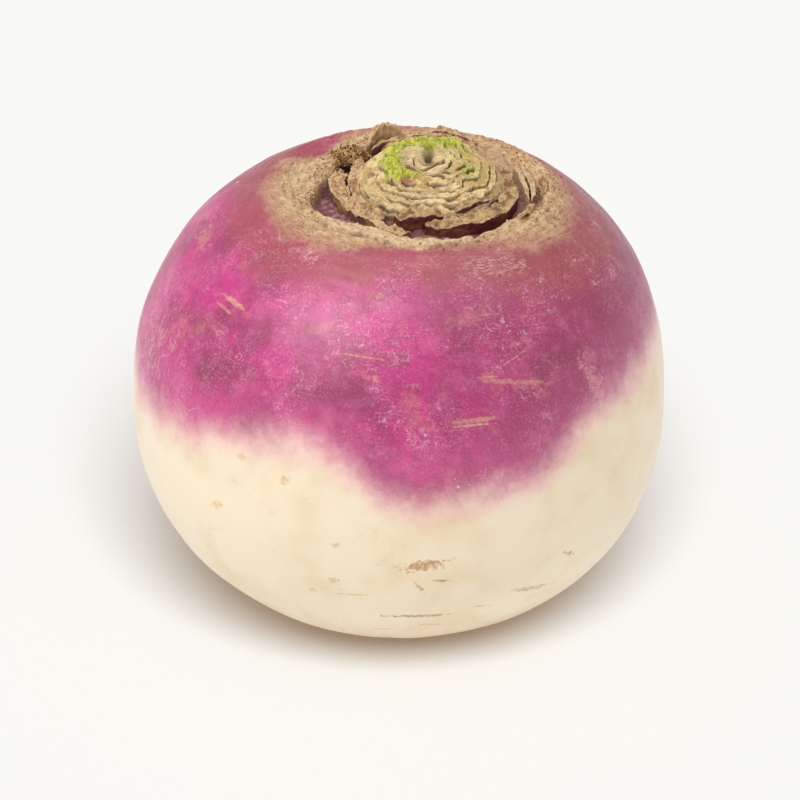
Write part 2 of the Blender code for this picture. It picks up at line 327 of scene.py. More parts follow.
class Recipe(Nodes):
    """A material's node tree. Sizes in it are in millimetres."""

    def __init__(self, name: str) -> None:
        """Makes the material with its shader, and its place in millimetres."""
        self.material = bpy.data.materials.new(name)
        self.material.use_nodes = True
        super().__init__(self.material.node_tree)
        self.shader = self.tree.nodes["Principled BSDF"]
        self.place = self.stretch(self.add("ShaderNodeTexCoord", "Object", {}), (1.0 / MM,) * 3)

    def trait(self, name: str, output: str = "Fac") -> Flow:
        """Reads one of the mesh's own attributes, as a number or as its Vector."""
        return self.add("ShaderNodeAttribute", output, {}, attribute_name=name)

    def stretch(self, vector: Flow, scale: tuple[float, float, float]) -> Flow:
        """Multiplies a vector, axis by axis."""
        return self.vector_math("MULTIPLY", "Vector", {0: vector, 1: scale})

    def noise(
        self, size: float, detail: float = 3.0, vector: Flow | None = None, rough: float = 0.55
    ) -> Flow:
        """Noise from 0 to 1 with lumps of a size, at the place unless another vector is given."""
        values = {"Vector": vector or self.place, "Scale": 1.0 / size, "Detail": detail, "Roughness": rough}
        return self.add("ShaderNodeTexNoise", "Fac", values)

    def grain(self, vector: Flow, sizes: tuple[float, float, float], detail: float = 3.0) -> Flow:
        """Noise from 0 to 1 along a vector, with lumps of a size for each of its axes."""
        return self.noise(1.0, detail, self.stretch(vector, tuple(1.0 / size for size in sizes)))

    def cloud(self, size: float, low: float, high: float, detail: float = 3.0) -> Flow:
        """Patches of a size: noise stepped from 0 at low to 1 at high."""
        return self.noise(size, detail).step(low, high)

    def swing(self, size: float, amount: float, detail: float = 3.0) -> Flow:
        """Noise that swings by about half an amount either side of nothing."""
        return (self.noise(size, detail) - 0.5) * amount

    def dots(self, size: float, radius: float, chance: float) -> Flow:
        """Scattered round dots: 1 on a dot and 0 off it.

        Args:
            size: the spacing of the cells that may hold one.
            radius: a dot's radius as a share of the spacing.
            chance: the share of cells that hold one.

        Returns:
            The output that is 1 on a dot.
        """
        away = self.add("ShaderNodeTexVoronoi", "Distance", {"Vector": self.place, "Scale": 1.0 / size})
        drawn = Flow(self, away.socket.node.outputs["Color"])
        held = self.math("LESS_THAN", self.add("ShaderNodeSeparateColor", "Red", {"Color": drawn}), chance)
        return (1.0 - away.step(0.5 * radius, radius)) * held

    def threads(self, size: float, thin: float, vector: Flow | None = None) -> Flow:
        """Thin wandering lines: 1 on a line and 0 off it.

        Args:
            size: about how far apart the lines' bends are.
            thin: how thin they are, from 0 to about 0.1.
            vector: another vector in place of the place.

        Returns:
            The output that is 1 on a line.
        """
        away = self.math("ABSOLUTE", self.noise(size, 2.0, vector) - 0.5)
        return 1.0 - away.step(0.0, thin)

    def bump(self, height: Flow, depth: float) -> None:
        """Gives the shader a fine relief, as deep as is said, in millimetres, from a height of 0 to 1."""
        values = {"Height": height, "Distance": depth * MM, "Strength": 1.0}
        self.feed(self.shader.inputs["Normal"], self.add("ShaderNodeBump", "Normal", values))

    def finish(
        self, colour: Flow | Colour, roughness: Flow | float, subsurface: float, specular: float
    ) -> bpy.types.Material:
        """Sets the shader's own values and returns the material.

        Args:
            colour: the base colour.
            roughness: the roughness, a number or an output.
            subsurface: the share of light that spreads under the surface.
            specular: the specular level.

        Returns:
            The finished material.
        """
        self.feed(self.shader.inputs["Base Color"], colour)
        self.feed(self.shader.inputs["Roughness"], roughness)
        self.shader.inputs["Subsurface Weight"].default_value = subsurface
        self.shader.inputs["Subsurface Radius"].default_value = (1.0, 0.4, 0.25)
        self.shader.inputs["Subsurface Scale"].default_value = 1.2 * MM
        self.shader.inputs["Specular IOR Level"].default_value = specular
        return self.material


class Grower(Nodes):
    """A Geometry Nodes tree that grows small repeated shapes on a host mesh."""

    def __init__(self, name: str) -> None:
        """Makes the tree with its host going in and its result coming out."""
        super().__init__(bpy.data.node_groups.new(name, "GeometryNodeTree"))
        self.name = name
        for label, way in (("Host", "INPUT"), ("Grown", "OUTPUT")):
            self.tree.interface.new_socket(label, in_out=way, socket_type="NodeSocketGeometry")
        self.given = self.tree.nodes.new("NodeGroupInput")
        self.result = self.tree.nodes.new("NodeGroupOutput")
        self.sizes: dict[str, float | int] = {}

    def size(self, name: str, value: float | int) -> Flow:
        """Adds a named input and remembers the value that it is run with."""
        kind = "NodeSocketInt" if isinstance(value, int) else "NodeSocketFloat"
        self.tree.interface.new_socket(name, in_out="INPUT", socket_type=kind)
        self.sizes[name] = value
        return Flow(self, self.given.outputs[name])

    def chance(self, low: float | tuple, high: float | tuple, seed: int) -> Flow:
        """A random number, or vector, for each point or instance."""
        kind = "FLOAT_VECTOR" if isinstance(low, tuple) else "FLOAT"
        values = {"Min": low, "Max": high, "Seed": seed}
        return self.add("FunctionNodeRandomValue", "Value", values, data_type=kind)

    def scattered(self, trait: str, density: float, seed: int) -> Flow:
        """Scatters points over the host.

        Args:
            trait: the attribute that says how thickly, from 0 to 1.
            density: points a square metre where it is 1.
            seed: the seed of their places.

        Returns:
            The points.
        """
        thick = self.add("GeometryNodeInputNamedAttribute", "Attribute", {"Name": trait}, data_type="FLOAT")
        thick = thick * self.size("Density", density)
        host = Flow(self, self.given.outputs["Host"])
        values = {"Mesh": host, "Density": thick, "Seed": self.size("Seed", seed)}
        return self.add("GeometryNodeDistributePointsOnFaces", "Points", values)

    def lump(self, squash: tuple[float, float, float]) -> Flow:
        """An uneven lump of 80 faces and of radius 1, squashed along its axes."""
        ball = self.add("GeometryNodeMeshIcoSphere", "Mesh", {"Radius": 1.0, "Subdivisions": 2})
        uneven = self.add("ShaderNodeTexNoise", "Color", {"Scale": 1.1, "Detail": 2.0})
        push = self.vector_math("SUBTRACT", "Vector", {0: uneven, 1: (0.5, 0.5, 0.5)})
        push = self.vector_math("SCALE", "Vector", {0: push, "Scale": 2.2})
        rough = self.add("GeometryNodeSetPosition", "Geometry", {"Geometry": ball, "Offset": push})
        return self.add("GeometryNodeTransform", "Geometry", {"Geometry": rough, "Scale": squash})

    def curl(self, girth: float, windings: float) -> Flow:
        """A thin curling fibre of radius about 1."""
        values = {
            "Resolution": 9, "Rotations": self.size("Windings", windings),
            "Start Radius": 1.0, "End Radius": 0.35, "Height": 0.8,
        }
        path = self.add("GeometryNodeCurveSpiral", "Curve", values)
        values = {"Resolution": 4, "Radius": self.size("Girth", girth)}
        ring = self.add("GeometryNodeCurvePrimitiveCircle", "Curve", values)
        values = {"Curve": path, "Profile Curve": ring, "Fill Caps": True}
        return self.add("GeometryNodeCurveToMesh", "Mesh", values)

    def grow(
        self, points: Flow, shape: Flow, sizes: tuple[float, float], material: bpy.types.Material
    ) -> None:
        """Ends the tree: a shape on each point, turned at random, made real and given its material.

        Args:
            points: where the shapes stand.
            shape: the shape.
            sizes: the smallest and the largest, in millimetres.
            material: their finish.
        """
        turn = self.chance((0.0,) * 3, (6.28,) * 3, 2)
        scale = self.chance(sizes[0] * MM, sizes[1] * MM, 3)
        values = {"Points": points, "Instance": shape, "Rotation": turn, "Scale": scale}
        made = self.add("GeometryNodeInstanceOnPoints", "Instances", values)
        values = {"Geometry": made, "Name": "tone", "Value": self.chance(0.0, 1.0, 5)}
        kind = {"data_type": "FLOAT", "domain": "INSTANCE"}
        made = self.add("GeometryNodeStoreNamedAttribute", "Geometry", values, **kind)
        made = self.add("GeometryNodeRealizeInstances", "Geometry", {"Geometry": made})
        made = self.add("GeometryNodeSetMaterial", "Geometry", {"Geometry": made, "Material": material})
        self.feed(self.result.inputs["Grown"], made)

    def run(self, host: bpy.types.Object) -> bpy.types.Mesh:
        """Runs the tree once on a host.

        Args:
            host: the object that carries the mesh to grow on.

        Returns:
            What grew, as a plain mesh.
        """
        grown = host.modifiers.new(self.name, "NODES")
        grown.node_group = self.tree
        for item in self.tree.interface.items_tree:
            if item.in_out == "INPUT" and item.name in self.sizes:
                grown[item.identifier] = self.sizes[item.name]
        evaluated = host.evaluated_get(bpy.context.evaluated_depsgraph_get())
        mesh = bpy.data.meshes.new_from_object(evaluated)
        host.modifiers.remove(grown)
        return mesh


# ---------------------------------------------------------------- finishes


class Tone(Enum):
    """The colour of a mark on the skin."""

    PALE = tint(232, 178, 160)
    TAN = tint(214, 160, 124)
    ORANGE = tint(222, 132, 92)
    BROWN = tint(178, 118, 12)
    STRAW = tint(214, 168, 80)


@dataclass(frozen=True)
class Mark:
    """A scar, smudge or scratch on the skin.

    Turn is in degrees anticlockwise from +X, and tilt is its angle from level. Level, the
    height above the flat spot, and its length and width are in millimetres. Strength is how
    much of it shows, and ragged how far its edge wanders, as a share of its size.
    """

    turn: float
    level: float
    tilt: float
    length: float
    width: float
    tone: Tone
    strength: float
    ragged: float


MARK_DEPTH = 8.0
MARKS = (
    Mark(222.3, 67.1, -7.0, 8.4, 1.1, Tone.TAN, 0.8, 0.6),
    Mark(220.0, 65.9, -7.0, 5.6, 0.7, Tone.TAN, 0.5, 0.8),
    Mark(260.5, 64.2, -4.0, 10.5, 0.5, Tone.ORANGE, 0.75, 0.5),
    Mark(263.2, 61.4, -10.0, 3.8, 0.8, Tone.ORANGE, 0.45, 1.3),
    Mark(286.1, 54.4, -2.0, 10.6, 1.1, Tone.TAN, 0.55, 0.8),
    Mark(286.6, 53.6, -3.0, 8.0, 0.5, Tone.PALE, 0.6, 0.8),
    Mark(297.4, 59.0, -14.0, 13.9, 1.0, Tone.TAN, 0.45, 1.0),
    Mark(290.0, 60.6, -6.0, 5.0, 0.5, Tone.TAN, 0.5, 1.0),
    Mark(297.5, 62.5, 20.0, 7.9, 0.3, Tone.PALE, 0.5, 1.2),
    Mark(317.5, 55.4, -69.0, 9.5, 3.2, Tone.PALE, 0.35, 1.5),
    Mark(275.5, 28.9, 6.0, 8.5, 2.6, Tone.BROWN, 0.77, 1.3),
    Mark(279.3, 25.4, -7.0, 3.6, 0.7, Tone.BROWN, 0.84, 1.0),
    Mark(274.5, 24.2, -60.0, 3.1, 0.9, Tone.BROWN, 0.70, 1.2),
    Mark(273.2, 16.4, -4.0, 12.5, 1.2, Tone.BROWN, 0.84, 1.0),
    Mark(265.0, 12.1, 6.0, 4.2, 0.7, Tone.ORANGE, 0.6, 0.9),
    Mark(277.7, 13.1, -8.0, 5.6, 0.8, Tone.ORANGE, 0.6, 0.9),
    Mark(259.9, 22.2, 6.0, 6.6, 0.4, Tone.STRAW, 0.8, 0.9),
    Mark(290.1, 17.4, -12.0, 4.1, 0.5, Tone.BROWN, 0.56, 1.0),
    Mark(310.9, 25.0, -30.0, 3.4, 1.0, Tone.BROWN, 0.70, 1.2),
    Mark(303.0, 19.0, -14.0, 8.4, 1.6, Tone.BROWN, 0.63, 1.3),
    Mark(246.1, 43.5, 12.0, 2.6, 1.7, Tone.STRAW, 0.6, 1.0),
    Mark(256.7, 32.9, 8.0, 2.2, 1.3, Tone.STRAW, 0.6, 1.0),
    Mark(255.5, 25.1, 11.0, 2.2, 1.6, Tone.BROWN, 0.42, 1.0),
    Mark(250.1, 22.0, 16.0, 1.9, 1.2, Tone.STRAW, 0.6, 1.0),
    Mark(229.3, 35.5, 20.0, 3.0, 2.0, Tone.STRAW, 0.55, 1.0),
    Mark(236.0, 45.8, 16.0, 2.4, 1.4, Tone.STRAW, 0.5, 1.0),
    Mark(192.0, 70.5, -10.0, 7.0, 4.2, Tone.TAN, 0.4, 1.6),
    Mark(60.0, 58.0, 5.0, 9.0, 0.9, Tone.TAN, 0.5, 0.9),
    Mark(84.0, 62.5, -4.0, 6.0, 0.6, Tone.PALE, 0.5, 1.0),
    Mark(101.0, 24.0, 4.0, 8.0, 1.0, Tone.BROWN, 0.70, 1.1),
    Mark(33.0, 20.0, 8.0, 6.0, 1.2, Tone.BROWN, 0.56, 1.2),
    Mark(22.0, 41.0, -6.0, 3.0, 1.8, Tone.STRAW, 0.5, 1.0),
    Mark(8.0, 14.0, 4.0, 9.0, 0.9, Tone.BROWN, 0.6, 1.0),
    Mark(345.0, 30.0, 12.0, 2.4, 1.5, Tone.STRAW, 0.55, 1.0),
    Mark(52.0, 66.0, 8.0, 12.0, 0.6, Tone.ORANGE, 0.55, 0.8),
    Mark(118.0, 41.0, 5.0, 2.8, 1.7, Tone.STRAW, 0.5, 1.0),
    Mark(128.0, 15.0, -5.0, 10.0, 1.0, Tone.BROWN, 0.6, 1.0),
    Mark(140.0, 61.0, -8.0, 8.0, 0.8, Tone.TAN, 0.55, 0.9),
    Mark(170.0, 26.0, 10.0, 3.4, 2.0, Tone.STRAW, 0.5, 1.1),
    Mark(70.0, 13.0, 3.0, 8.0, 0.9, Tone.BROWN, 0.55, 1.0),
    Mark(150.0, 30.0, -5.0, 5.0, 1.2, Tone.BROWN, 0.56, 1.2),
)


@dataclass(frozen=True)
class SkinFinish:
    """The skin: magenta above, cream below, corky round the crown."""

    magenta: Colour = tint(196, 6, 122)
    deep: Colour = tint(140, 0, 78)
    mauve: Colour = tint(142, 22, 80)
    rose: Colour = tint(208, 96, 148)
    stain: Colour = tint(206, 128, 112)
    dusk: Colour = tint(150, 54, 44)
    halo: Colour = tint(234, 160, 180)
    cream: Colour = tint(245, 228, 200)
    warm: Colour = tint(236, 212, 172)
    # Painted shade: a darker cream laid low on the globe, towards the flat spot.
    painted_low_shade: Colour = tint(226, 198, 158)
    speck: Colour = tint(240, 214, 208)
    cork: Colour = tint(192, 152, 108)
    pale_cork: Colour = tint(216, 184, 138)
    dark_cork: Colour = tint(122, 82, 48)
    rosy_cork: Colour = tint(176, 108, 100)
    floor: Colour = tint(118, 58, 74)
    pale_floor: Colour = tint(170, 118, 112)
    dark_floor: Colour = tint(84, 30, 48)
    wall: Colour = tint(134, 92, 58)
    stump: Colour = tint(220, 190, 148)
    papery: Colour = tint(222, 178, 160)
    # Painted shade, dark and reddish, laid in the crease under the stump's outer edge.
    under: Colour = tint(112, 60, 48)
    shine: float = 0.85
    coat: float = 0.26
    coat_roughness: float = 0.34

    def marks(self, recipe: Recipe, base: Flow, root: "Root") -> Flow:
        """Lays every scar, smudge and scratch over a colour.

        Args:
            recipe: the material that is being made.
            base: the colour under the marks.
            root: the root, which knows where its skin is.

        Returns:
            The colour with the marks.
        """
        stray = recipe.swing(0.9, 2.4, 4.0)
        worn = recipe.cloud(0.5, 0.38, 0.6, 4.0) * 0.65 + 0.45
        for mark in MARKS:
            place, *ways = root.on_skin(mark.turn, mark.level, mark.tilt)
            values = {
                "Vector": recipe.place,
                "Location": tuple(place / MM),
                "Rotation": Matrix(ways).transposed().to_euler(),
                "Scale": (0.5 * mark.length, 0.5 * mark.width, MARK_DEPTH),
            }
            inside = recipe.add("ShaderNodeMapping", "Vector", values, vector_type="TEXTURE")
            reach = recipe.vector_math("LENGTH", "Value", {0: inside}) + stray * mark.ragged
            base = (reach.step(1.0, 0.45) * mark.strength * worn).over(base, mark.tone.value)
        return base

    def cream_skin(self, recipe: Recipe, wrap: Flow, above: Flow) -> Flow:
        """The colour below the purple: cream, warmer in patches, with a blush under the purple's edge.

        Args:
            recipe: the material that is being made.
            wrap: place on the skin, unrolled.
            above: height above the purple's edge, in millimetres.

        Returns:
            The colour.
        """
        cream = recipe.cloud(14.0, 0.4, 0.75).over(self.cream, self.warm)
        cream = recipe.dots(1.8, 0.13, 0.1).over(cream, Tone.STRAW.value, 0.4)
        # Painted shade: the cream darkens towards the flat spot, where the turnip meets the floor; the real
        # brown scuffs share this low band.
        low = 1.0 - (recipe.trait("level") + recipe.swing(9.0, 9.0)).step(4.0, 17.0)
        cream = low.over(cream, self.painted_low_shade, 0.8)
        scuffs = recipe.grain(wrap, (3.0, 3.0, 0.7)).step(0.56, 0.72) * low
        cream = scuffs.over(cream, Tone.BROWN.value, 0.55)
        creases = recipe.threads(5.0, 0.012) * recipe.cloud(7.0, 0.56, 0.7)
        cream = creases.over(cream, Tone.STRAW.value, 0.3)
        return above.step(-7.0, 0.5).over(cream, self.halo, 0.6)

    def purple_skin(self, recipe: Recipe, wrap: Flow, above: Flow) -> Flow:
        """The colour above: clouded magenta with a fine grain, thin scratches, flecks and stains.

        Args:
            recipe: the material that is being made.
            wrap: place on the skin, unrolled.
            above: height above the purple's edge, in millimetres.

        Returns:
            The colour.
        """
        rich = recipe.cloud(12.0, 0.38, 0.66, 4.0).over(self.magenta, self.deep)
        rich = (recipe.trait("right") + recipe.swing(9.0, 0.55)).step(-0.2, 0.85).over(rich, self.mauve)
        for size, low, high, colour, amount in (
            (3.5, 0.45, 0.72, self.rose, 0.34),
            (5.0, 0.56, 0.7, self.stain, 0.32),
            (1.4, 0.48, 0.66, self.deep, 0.42),
        ):
            rich = recipe.cloud(size, low, high).over(rich, colour, amount)
        tops = (recipe.trait("near_collar") + recipe.swing(5.0, 0.6)).step(0.15, 0.95)
        rich = tops.over(rich, self.dusk, 0.7)
        weathered = recipe.cloud(8.0, 0.4, 0.66)
        fine = recipe.cloud(0.34, 0.46, 0.7, 4.0) * ((weathered + 0.5) * 0.27)
        rich = fine.over(rich, self.halo)
        rich = (1.0 - above.step(1.0, 12.0)).over(rich, self.rose, 0.3)
        streaks = recipe.grain(wrap, (4.0, 4.0, 0.3)).step(0.56, 0.74) * weathered
        rich = streaks.over(rich, self.halo, 0.36)
        steep = recipe.stretch(wrap, (1.0, 1.0, 0.35))
        courses = ((1.6, 0.03, None, 0.57), (0.9, 0.045, None, 0.6), (1.3, 0.035, steep, 0.58))
        for number, (size, thin, vector, rarity) in enumerate(courses):
            far = 40.0 * (number + 1)
            moved = recipe.vector_math("ADD", "Vector", {0: recipe.place, 1: (far, 0.7 * far, -far)})
            shown = recipe.noise(2.4 + number, 3.0, moved).step(rarity, rarity + 0.06) * (weathered + 0.25)
            if vector:
                shown = recipe.math("MAXIMUM", shown * 0.4, recipe.trait("scraped"))
            rich = (recipe.threads(size, thin, vector) * shown).over(rich, self.speck, 0.36)
        crowded = recipe.trait("flecked") + recipe.cloud(10.0, 0.5, 0.68, 2.0)
        for size, radius, chance in ((1.1, 0.16, 0.3), (2.6, 0.14, 0.25)):
            flecks = recipe.math("MULTIPLY", recipe.dots(size, radius, chance), crowded, use_clamp=True)
            rich = flecks.over(rich, self.speck, 0.7)
        return rich

    def material(self, root: "Root") -> bpy.types.Material:
        """Makes the skin's material.

        Args:
            root: the root that it covers.

        Returns:
            The material.
        """
        recipe = Recipe("turnip_skin")
        wrap = recipe.trait("wrap", "Vector")
        above = recipe.trait("above_edge")
        for size, amount in ((7.0, 6.0), (2.2, 3.2), (0.7, 1.6)):
            above = above + recipe.swing(size, amount)
        cream, rich = self.cream_skin(recipe, wrap, above), self.purple_skin(recipe, wrap, above)
        skin = self.marks(recipe, above.step(-3.6, 4.2).over(cream, rich), root)

        rings = recipe.grain(wrap, (5.0, 5.0, 0.4), 4.0)
        ragged = recipe.trait("inside_collar") + recipe.swing(4.0, 5.0) + recipe.swing(0.9, 2.6, 4.0)
        corky = ragged.step(-1.0, 1.6)
        cork = recipe.cloud(1.3, 0.4, 0.65).over(self.cork, self.pale_cork)
        cork = rings.step(0.55, 0.72).over(cork, self.dark_cork)
        cork = recipe.dots(0.7, 0.34, 0.35).over(cork, self.dark_cork, 0.6)
        cork = (1.0 - ragged.step(0.8, 4.6)).over(cork, self.rosy_cork, 0.65)
        gritty = recipe.noise(0.5, 6.0, rough=0.65).step(0.5, 0.64) * 0.62
        cork = gritty.over(cork, self.dark_cork)
        folds = recipe.grain(wrap, (1.6, 1.6, 0.3)).step(0.47, 0.62)
        papery = (recipe.trait("crinkled") + recipe.swing(2.0, 1.6, 5.0)).step(0.3, 1.1)
        skin = (papery * folds).over(skin, self.papery, 0.45)
        arc = (recipe.trait("arc") + recipe.swing(1.3, 1.0, 4.0)).step(0.45, 0.8)
        skin = recipe.math("MULTIPLY", arc * gritty, 1.2, use_clamp=True).over(skin, self.cork)
        colour = corky.over(skin, cork)

        stump = recipe.cloud(0.6, 0.42, 0.66, 4.0).over(self.stump, self.cork)
        nicks = recipe.grain(wrap, (2.0, 2.0, 0.5)).step(0.54, 0.66)
        colour = recipe.trait("stump").over(colour, nicks.over(stump, self.dark_cork, 0.75), 0.95)
        # Painted shade in the crease under the stump's outer edge.
        under = recipe.trait("under") * recipe.cloud(2.2, 0.36, 0.56)
        colour = under.over(colour, self.under, 0.8)
        deep, scar = recipe.trait("in_basin"), recipe.trait("tap_scar")
        colour = deep.over(colour, recipe.cloud(2.0, 0.4, 0.6, 4.0).over(self.floor, self.wall))
        mottled = recipe.cloud(0.9, 0.44, 0.62, 4.0).over(self.floor, self.pale_floor)
        mottled = recipe.cloud(2.6, 0.48, 0.64).over(mottled, self.dark_floor)
        colour = recipe.trait("bruise").over(colour, mottled)
        colour = scar.over(colour, rings.over(self.dark_cork, self.cork))

        dry = recipe.math("MAXIMUM", recipe.math("MAXIMUM", corky, deep), scar)
        grit = recipe.noise(0.4, 4.0) * dry * 5.0
        recipe.bump(recipe.noise(1.6) + recipe.noise(0.35, 4.0) * 0.5 + grit, 0.03)
        recipe.shader.inputs["Coat Weight"].default_value = self.coat
        recipe.shader.inputs["Coat Roughness"].default_value = self.coat_roughness
        return recipe.finish(colour, dry * 0.4 + recipe.swing(3.0, 0.14) + 0.46, 0.1, self.shine)


@dataclass(frozen=True)
class LeafFinish:
    """A cut leaf base: its two faces, its cut top and the specks on it."""

    name: str
    cut: Colour
    cut_dark: Colour
    outer: Colour
    outer_dark: Colour
    inner: Colour
    inner_dark: Colour
    speck: Colour
    edge: Colour
    stain: Colour = tint(92, 38, 60)
    # Painted shade: the colour laid where the deep attribute is high, low on the leaf bases' walls and in the
    # heart bed's grooves, hole and folds.
    hollow: Colour = tint(88, 56, 34)
    speckled: float = 0.5
    stained: float = 0.0
    blush: float = 0.0
    greening: float = 0.0
    green: Colour = tint(190, 204, 72)
    green_dark: Colour = tint(150, 172, 36)
    roughness: float = 0.75
    subsurface: float = 0.1

    def material(self) -> bpy.types.Material:
        """Makes the leaf base's material."""
        recipe = Recipe(self.name)
        grain = recipe.trait("grain", "Vector")
        lines = recipe.grain(grain, (2.4, 0.22, 0.22))
        ribs = recipe.grain(grain, (1.1, 0.8, 2.0)).step(0.25, 0.85)
        blotch = recipe.noise(1.8, 4.0)
        top = blotch.step(0.42, 0.62).over(self.cut, self.cut_dark)
        top = lines.step(0.5, 0.68).over(top, self.cut_dark, 0.55)
        top = recipe.cloud(0.32, 0.54, 0.66, 4.0).over(top, self.speck, self.speckled)
        if not self.greening:
            top = recipe.dots(0.75, 0.26, 0.5).over(top, self.speck, 0.85)
        if self.blush:
            top = recipe.trait("tone").over(top, self.cut_dark)
        inner, outer = ribs.over(self.inner, self.inner_dark), ribs.over(self.outer, self.outer_dark)
        side = recipe.trait("outer").over(inner, outer)
        if self.stained:
            side = recipe.cloud(3.2, 0.44, 0.6).over(side, self.stain, self.stained)
        colour = (recipe.trait("cut") + recipe.swing(0.6, 0.5)).step(0.35, 0.6).over(side, top)
        if self.greening:
            green = recipe.cloud(1.5, 0.4, 0.7, 4.0).over(self.green, self.green_dark)
            fresh = (recipe.trait("fresh") + recipe.swing(1.5, 1.1, 4.0)).step(0.35, 0.8)
            colour = fresh.over(colour, green, self.greening)
        # On the heart bed, part of the rim attribute is a painted highlight: a thin pale line on each layer's
        # edge.
        colour = (recipe.trait("rim") * blotch.step(0.3, 0.6)).over(colour, self.edge, 0.6)
        if self.blush:
            streaks = recipe.grain(grain, (0.5, 1.6, 0.5), 4.0).step(0.5, 0.66)
            colour = streaks.over(colour, self.edge, 0.35)
            rosy = (recipe.trait("blush") + recipe.swing(1.0, 0.7, 4.0)).step(0.4, 0.8)
            colour = rosy.over(colour, self.stain, self.blush)
        # Painted shade: darkens towards the hollow colour where the deep attribute is high.
        colour = recipe.trait("deep").over(colour, self.hollow, 0.85)
        recipe.bump(lines * 0.7 + recipe.noise(0.25, 5.0), 0.06)
        return recipe.finish(colour, self.roughness, self.subsurface, 0.3)


DRY = LeafFinish(
    "dry_leaf_base", cut=tint(210, 176, 132), cut_dark=tint(154, 114, 76), outer=tint(168, 130, 88),
    outer_dark=tint(116, 78, 52), inner=tint(164, 124, 88), inner_dark=tint(114, 76, 56),
    speck=tint(96, 62, 36), edge=tint(230, 206, 168), speckled=0.8, stained=0.75,
)
PAPERY = LeafFinish(
    "papery_leaf_flap", cut=tint(214, 182, 138), cut_dark=tint(172, 136, 94), outer=tint(208, 176, 136),
    outer_dark=tint(178, 142, 102), inner=tint(206, 172, 132), inner_dark=tint(176, 138, 98),
    speck=tint(110, 76, 46), edge=tint(232, 208, 170), stained=0.12,
)
PURPLE_WALLED = LeafFinish(
    "purple_walled_leaf_base", cut=tint(196, 162, 116), cut_dark=tint(128, 92, 58),
    outer=tint(104, 36, 46), outer_dark=tint(72, 22, 32), inner=tint(150, 100, 84),
    inner_dark=tint(100, 54, 58), speck=tint(94, 60, 34), edge=tint(228, 204, 164),
    stain=tint(130, 84, 52), speckled=0.8, stained=0.6,
)
PINKISH = LeafFinish(
    "pinkish_leaf_base", cut=tint(208, 180, 140), cut_dark=tint(176, 140, 104), outer=tint(170, 128, 106),
    outer_dark=tint(120, 72, 72), inner=tint(204, 174, 138), inner_dark=tint(172, 132, 104),
    speck=tint(116, 80, 50), edge=tint(236, 216, 184), speckled=0.4, roughness=0.65, subsurface=0.15,
)
CREAMY = LeafFinish(
    "creamy_young_leaf", cut=tint(208, 186, 132), cut_dark=tint(170, 144, 90), outer=tint(196, 172, 120),
    outer_dark=tint(156, 124, 76), inner=tint(196, 174, 120), inner_dark=tint(150, 128, 70),
    speck=tint(120, 94, 50), edge=tint(234, 220, 182), speckled=0.4, greening=0.85, roughness=0.55,
    subsurface=0.2,
)
PACKED = LeafFinish(
    "packed_young_leaves", cut=tint(238, 212, 158), cut_dark=tint(178, 146, 88),
    outer=tint(200, 176, 122), outer_dark=tint(160, 128, 78), inner=tint(200, 178, 122),
    inner_dark=tint(156, 128, 74), speck=tint(132, 100, 56), edge=tint(240, 226, 188),
    stain=tint(158, 98, 84), hollow=tint(60, 36, 16), speckled=0.6, blush=0.85, greening=0.95,
    green=tint(200, 202, 52), green_dark=tint(134, 146, 14), roughness=0.55, subsurface=0.2,
)
LEAFY = LeafFinish(
    "green_heart_leaf", cut=tint(190, 194, 66), cut_dark=tint(148, 160, 30), outer=tint(170, 178, 46),
    outer_dark=tint(202, 194, 110), inner=tint(160, 170, 40), inner_dark=tint(110, 126, 18),
    speck=tint(118, 140, 22), edge=tint(220, 226, 140), speckled=0.3, roughness=0.5, subsurface=0.3,
)


@dataclass(frozen=True)
class CrumbFinish:
    """Loose crumbs, flakes and fibres: light and dark ones by chance."""

    name: str
    light: Colour
    dark: Colour

    def material(self) -> bpy.types.Material:
        """Makes their material."""
        recipe = Recipe(self.name)
        colour = (recipe.trait("tone") + recipe.swing(0.5, 0.5)).step(0.25, 0.85).over(self.light, self.dark)
        recipe.bump(recipe.noise(0.2, 4.0), 0.04)
        return recipe.finish(colour, 0.85, 0.05, 0.25)


CRUMBS = CrumbFinish("dry_crumbs", light=tint(222, 190, 148), dark=tint(150, 108, 68))
FIBRES = CrumbFinish("dry_fibres", light=tint(208, 170, 116), dark=tint(112, 72, 38))

FINISHED: dict[str, bpy.types.Material] = {}


# ---------------------------------------------------------------- the root


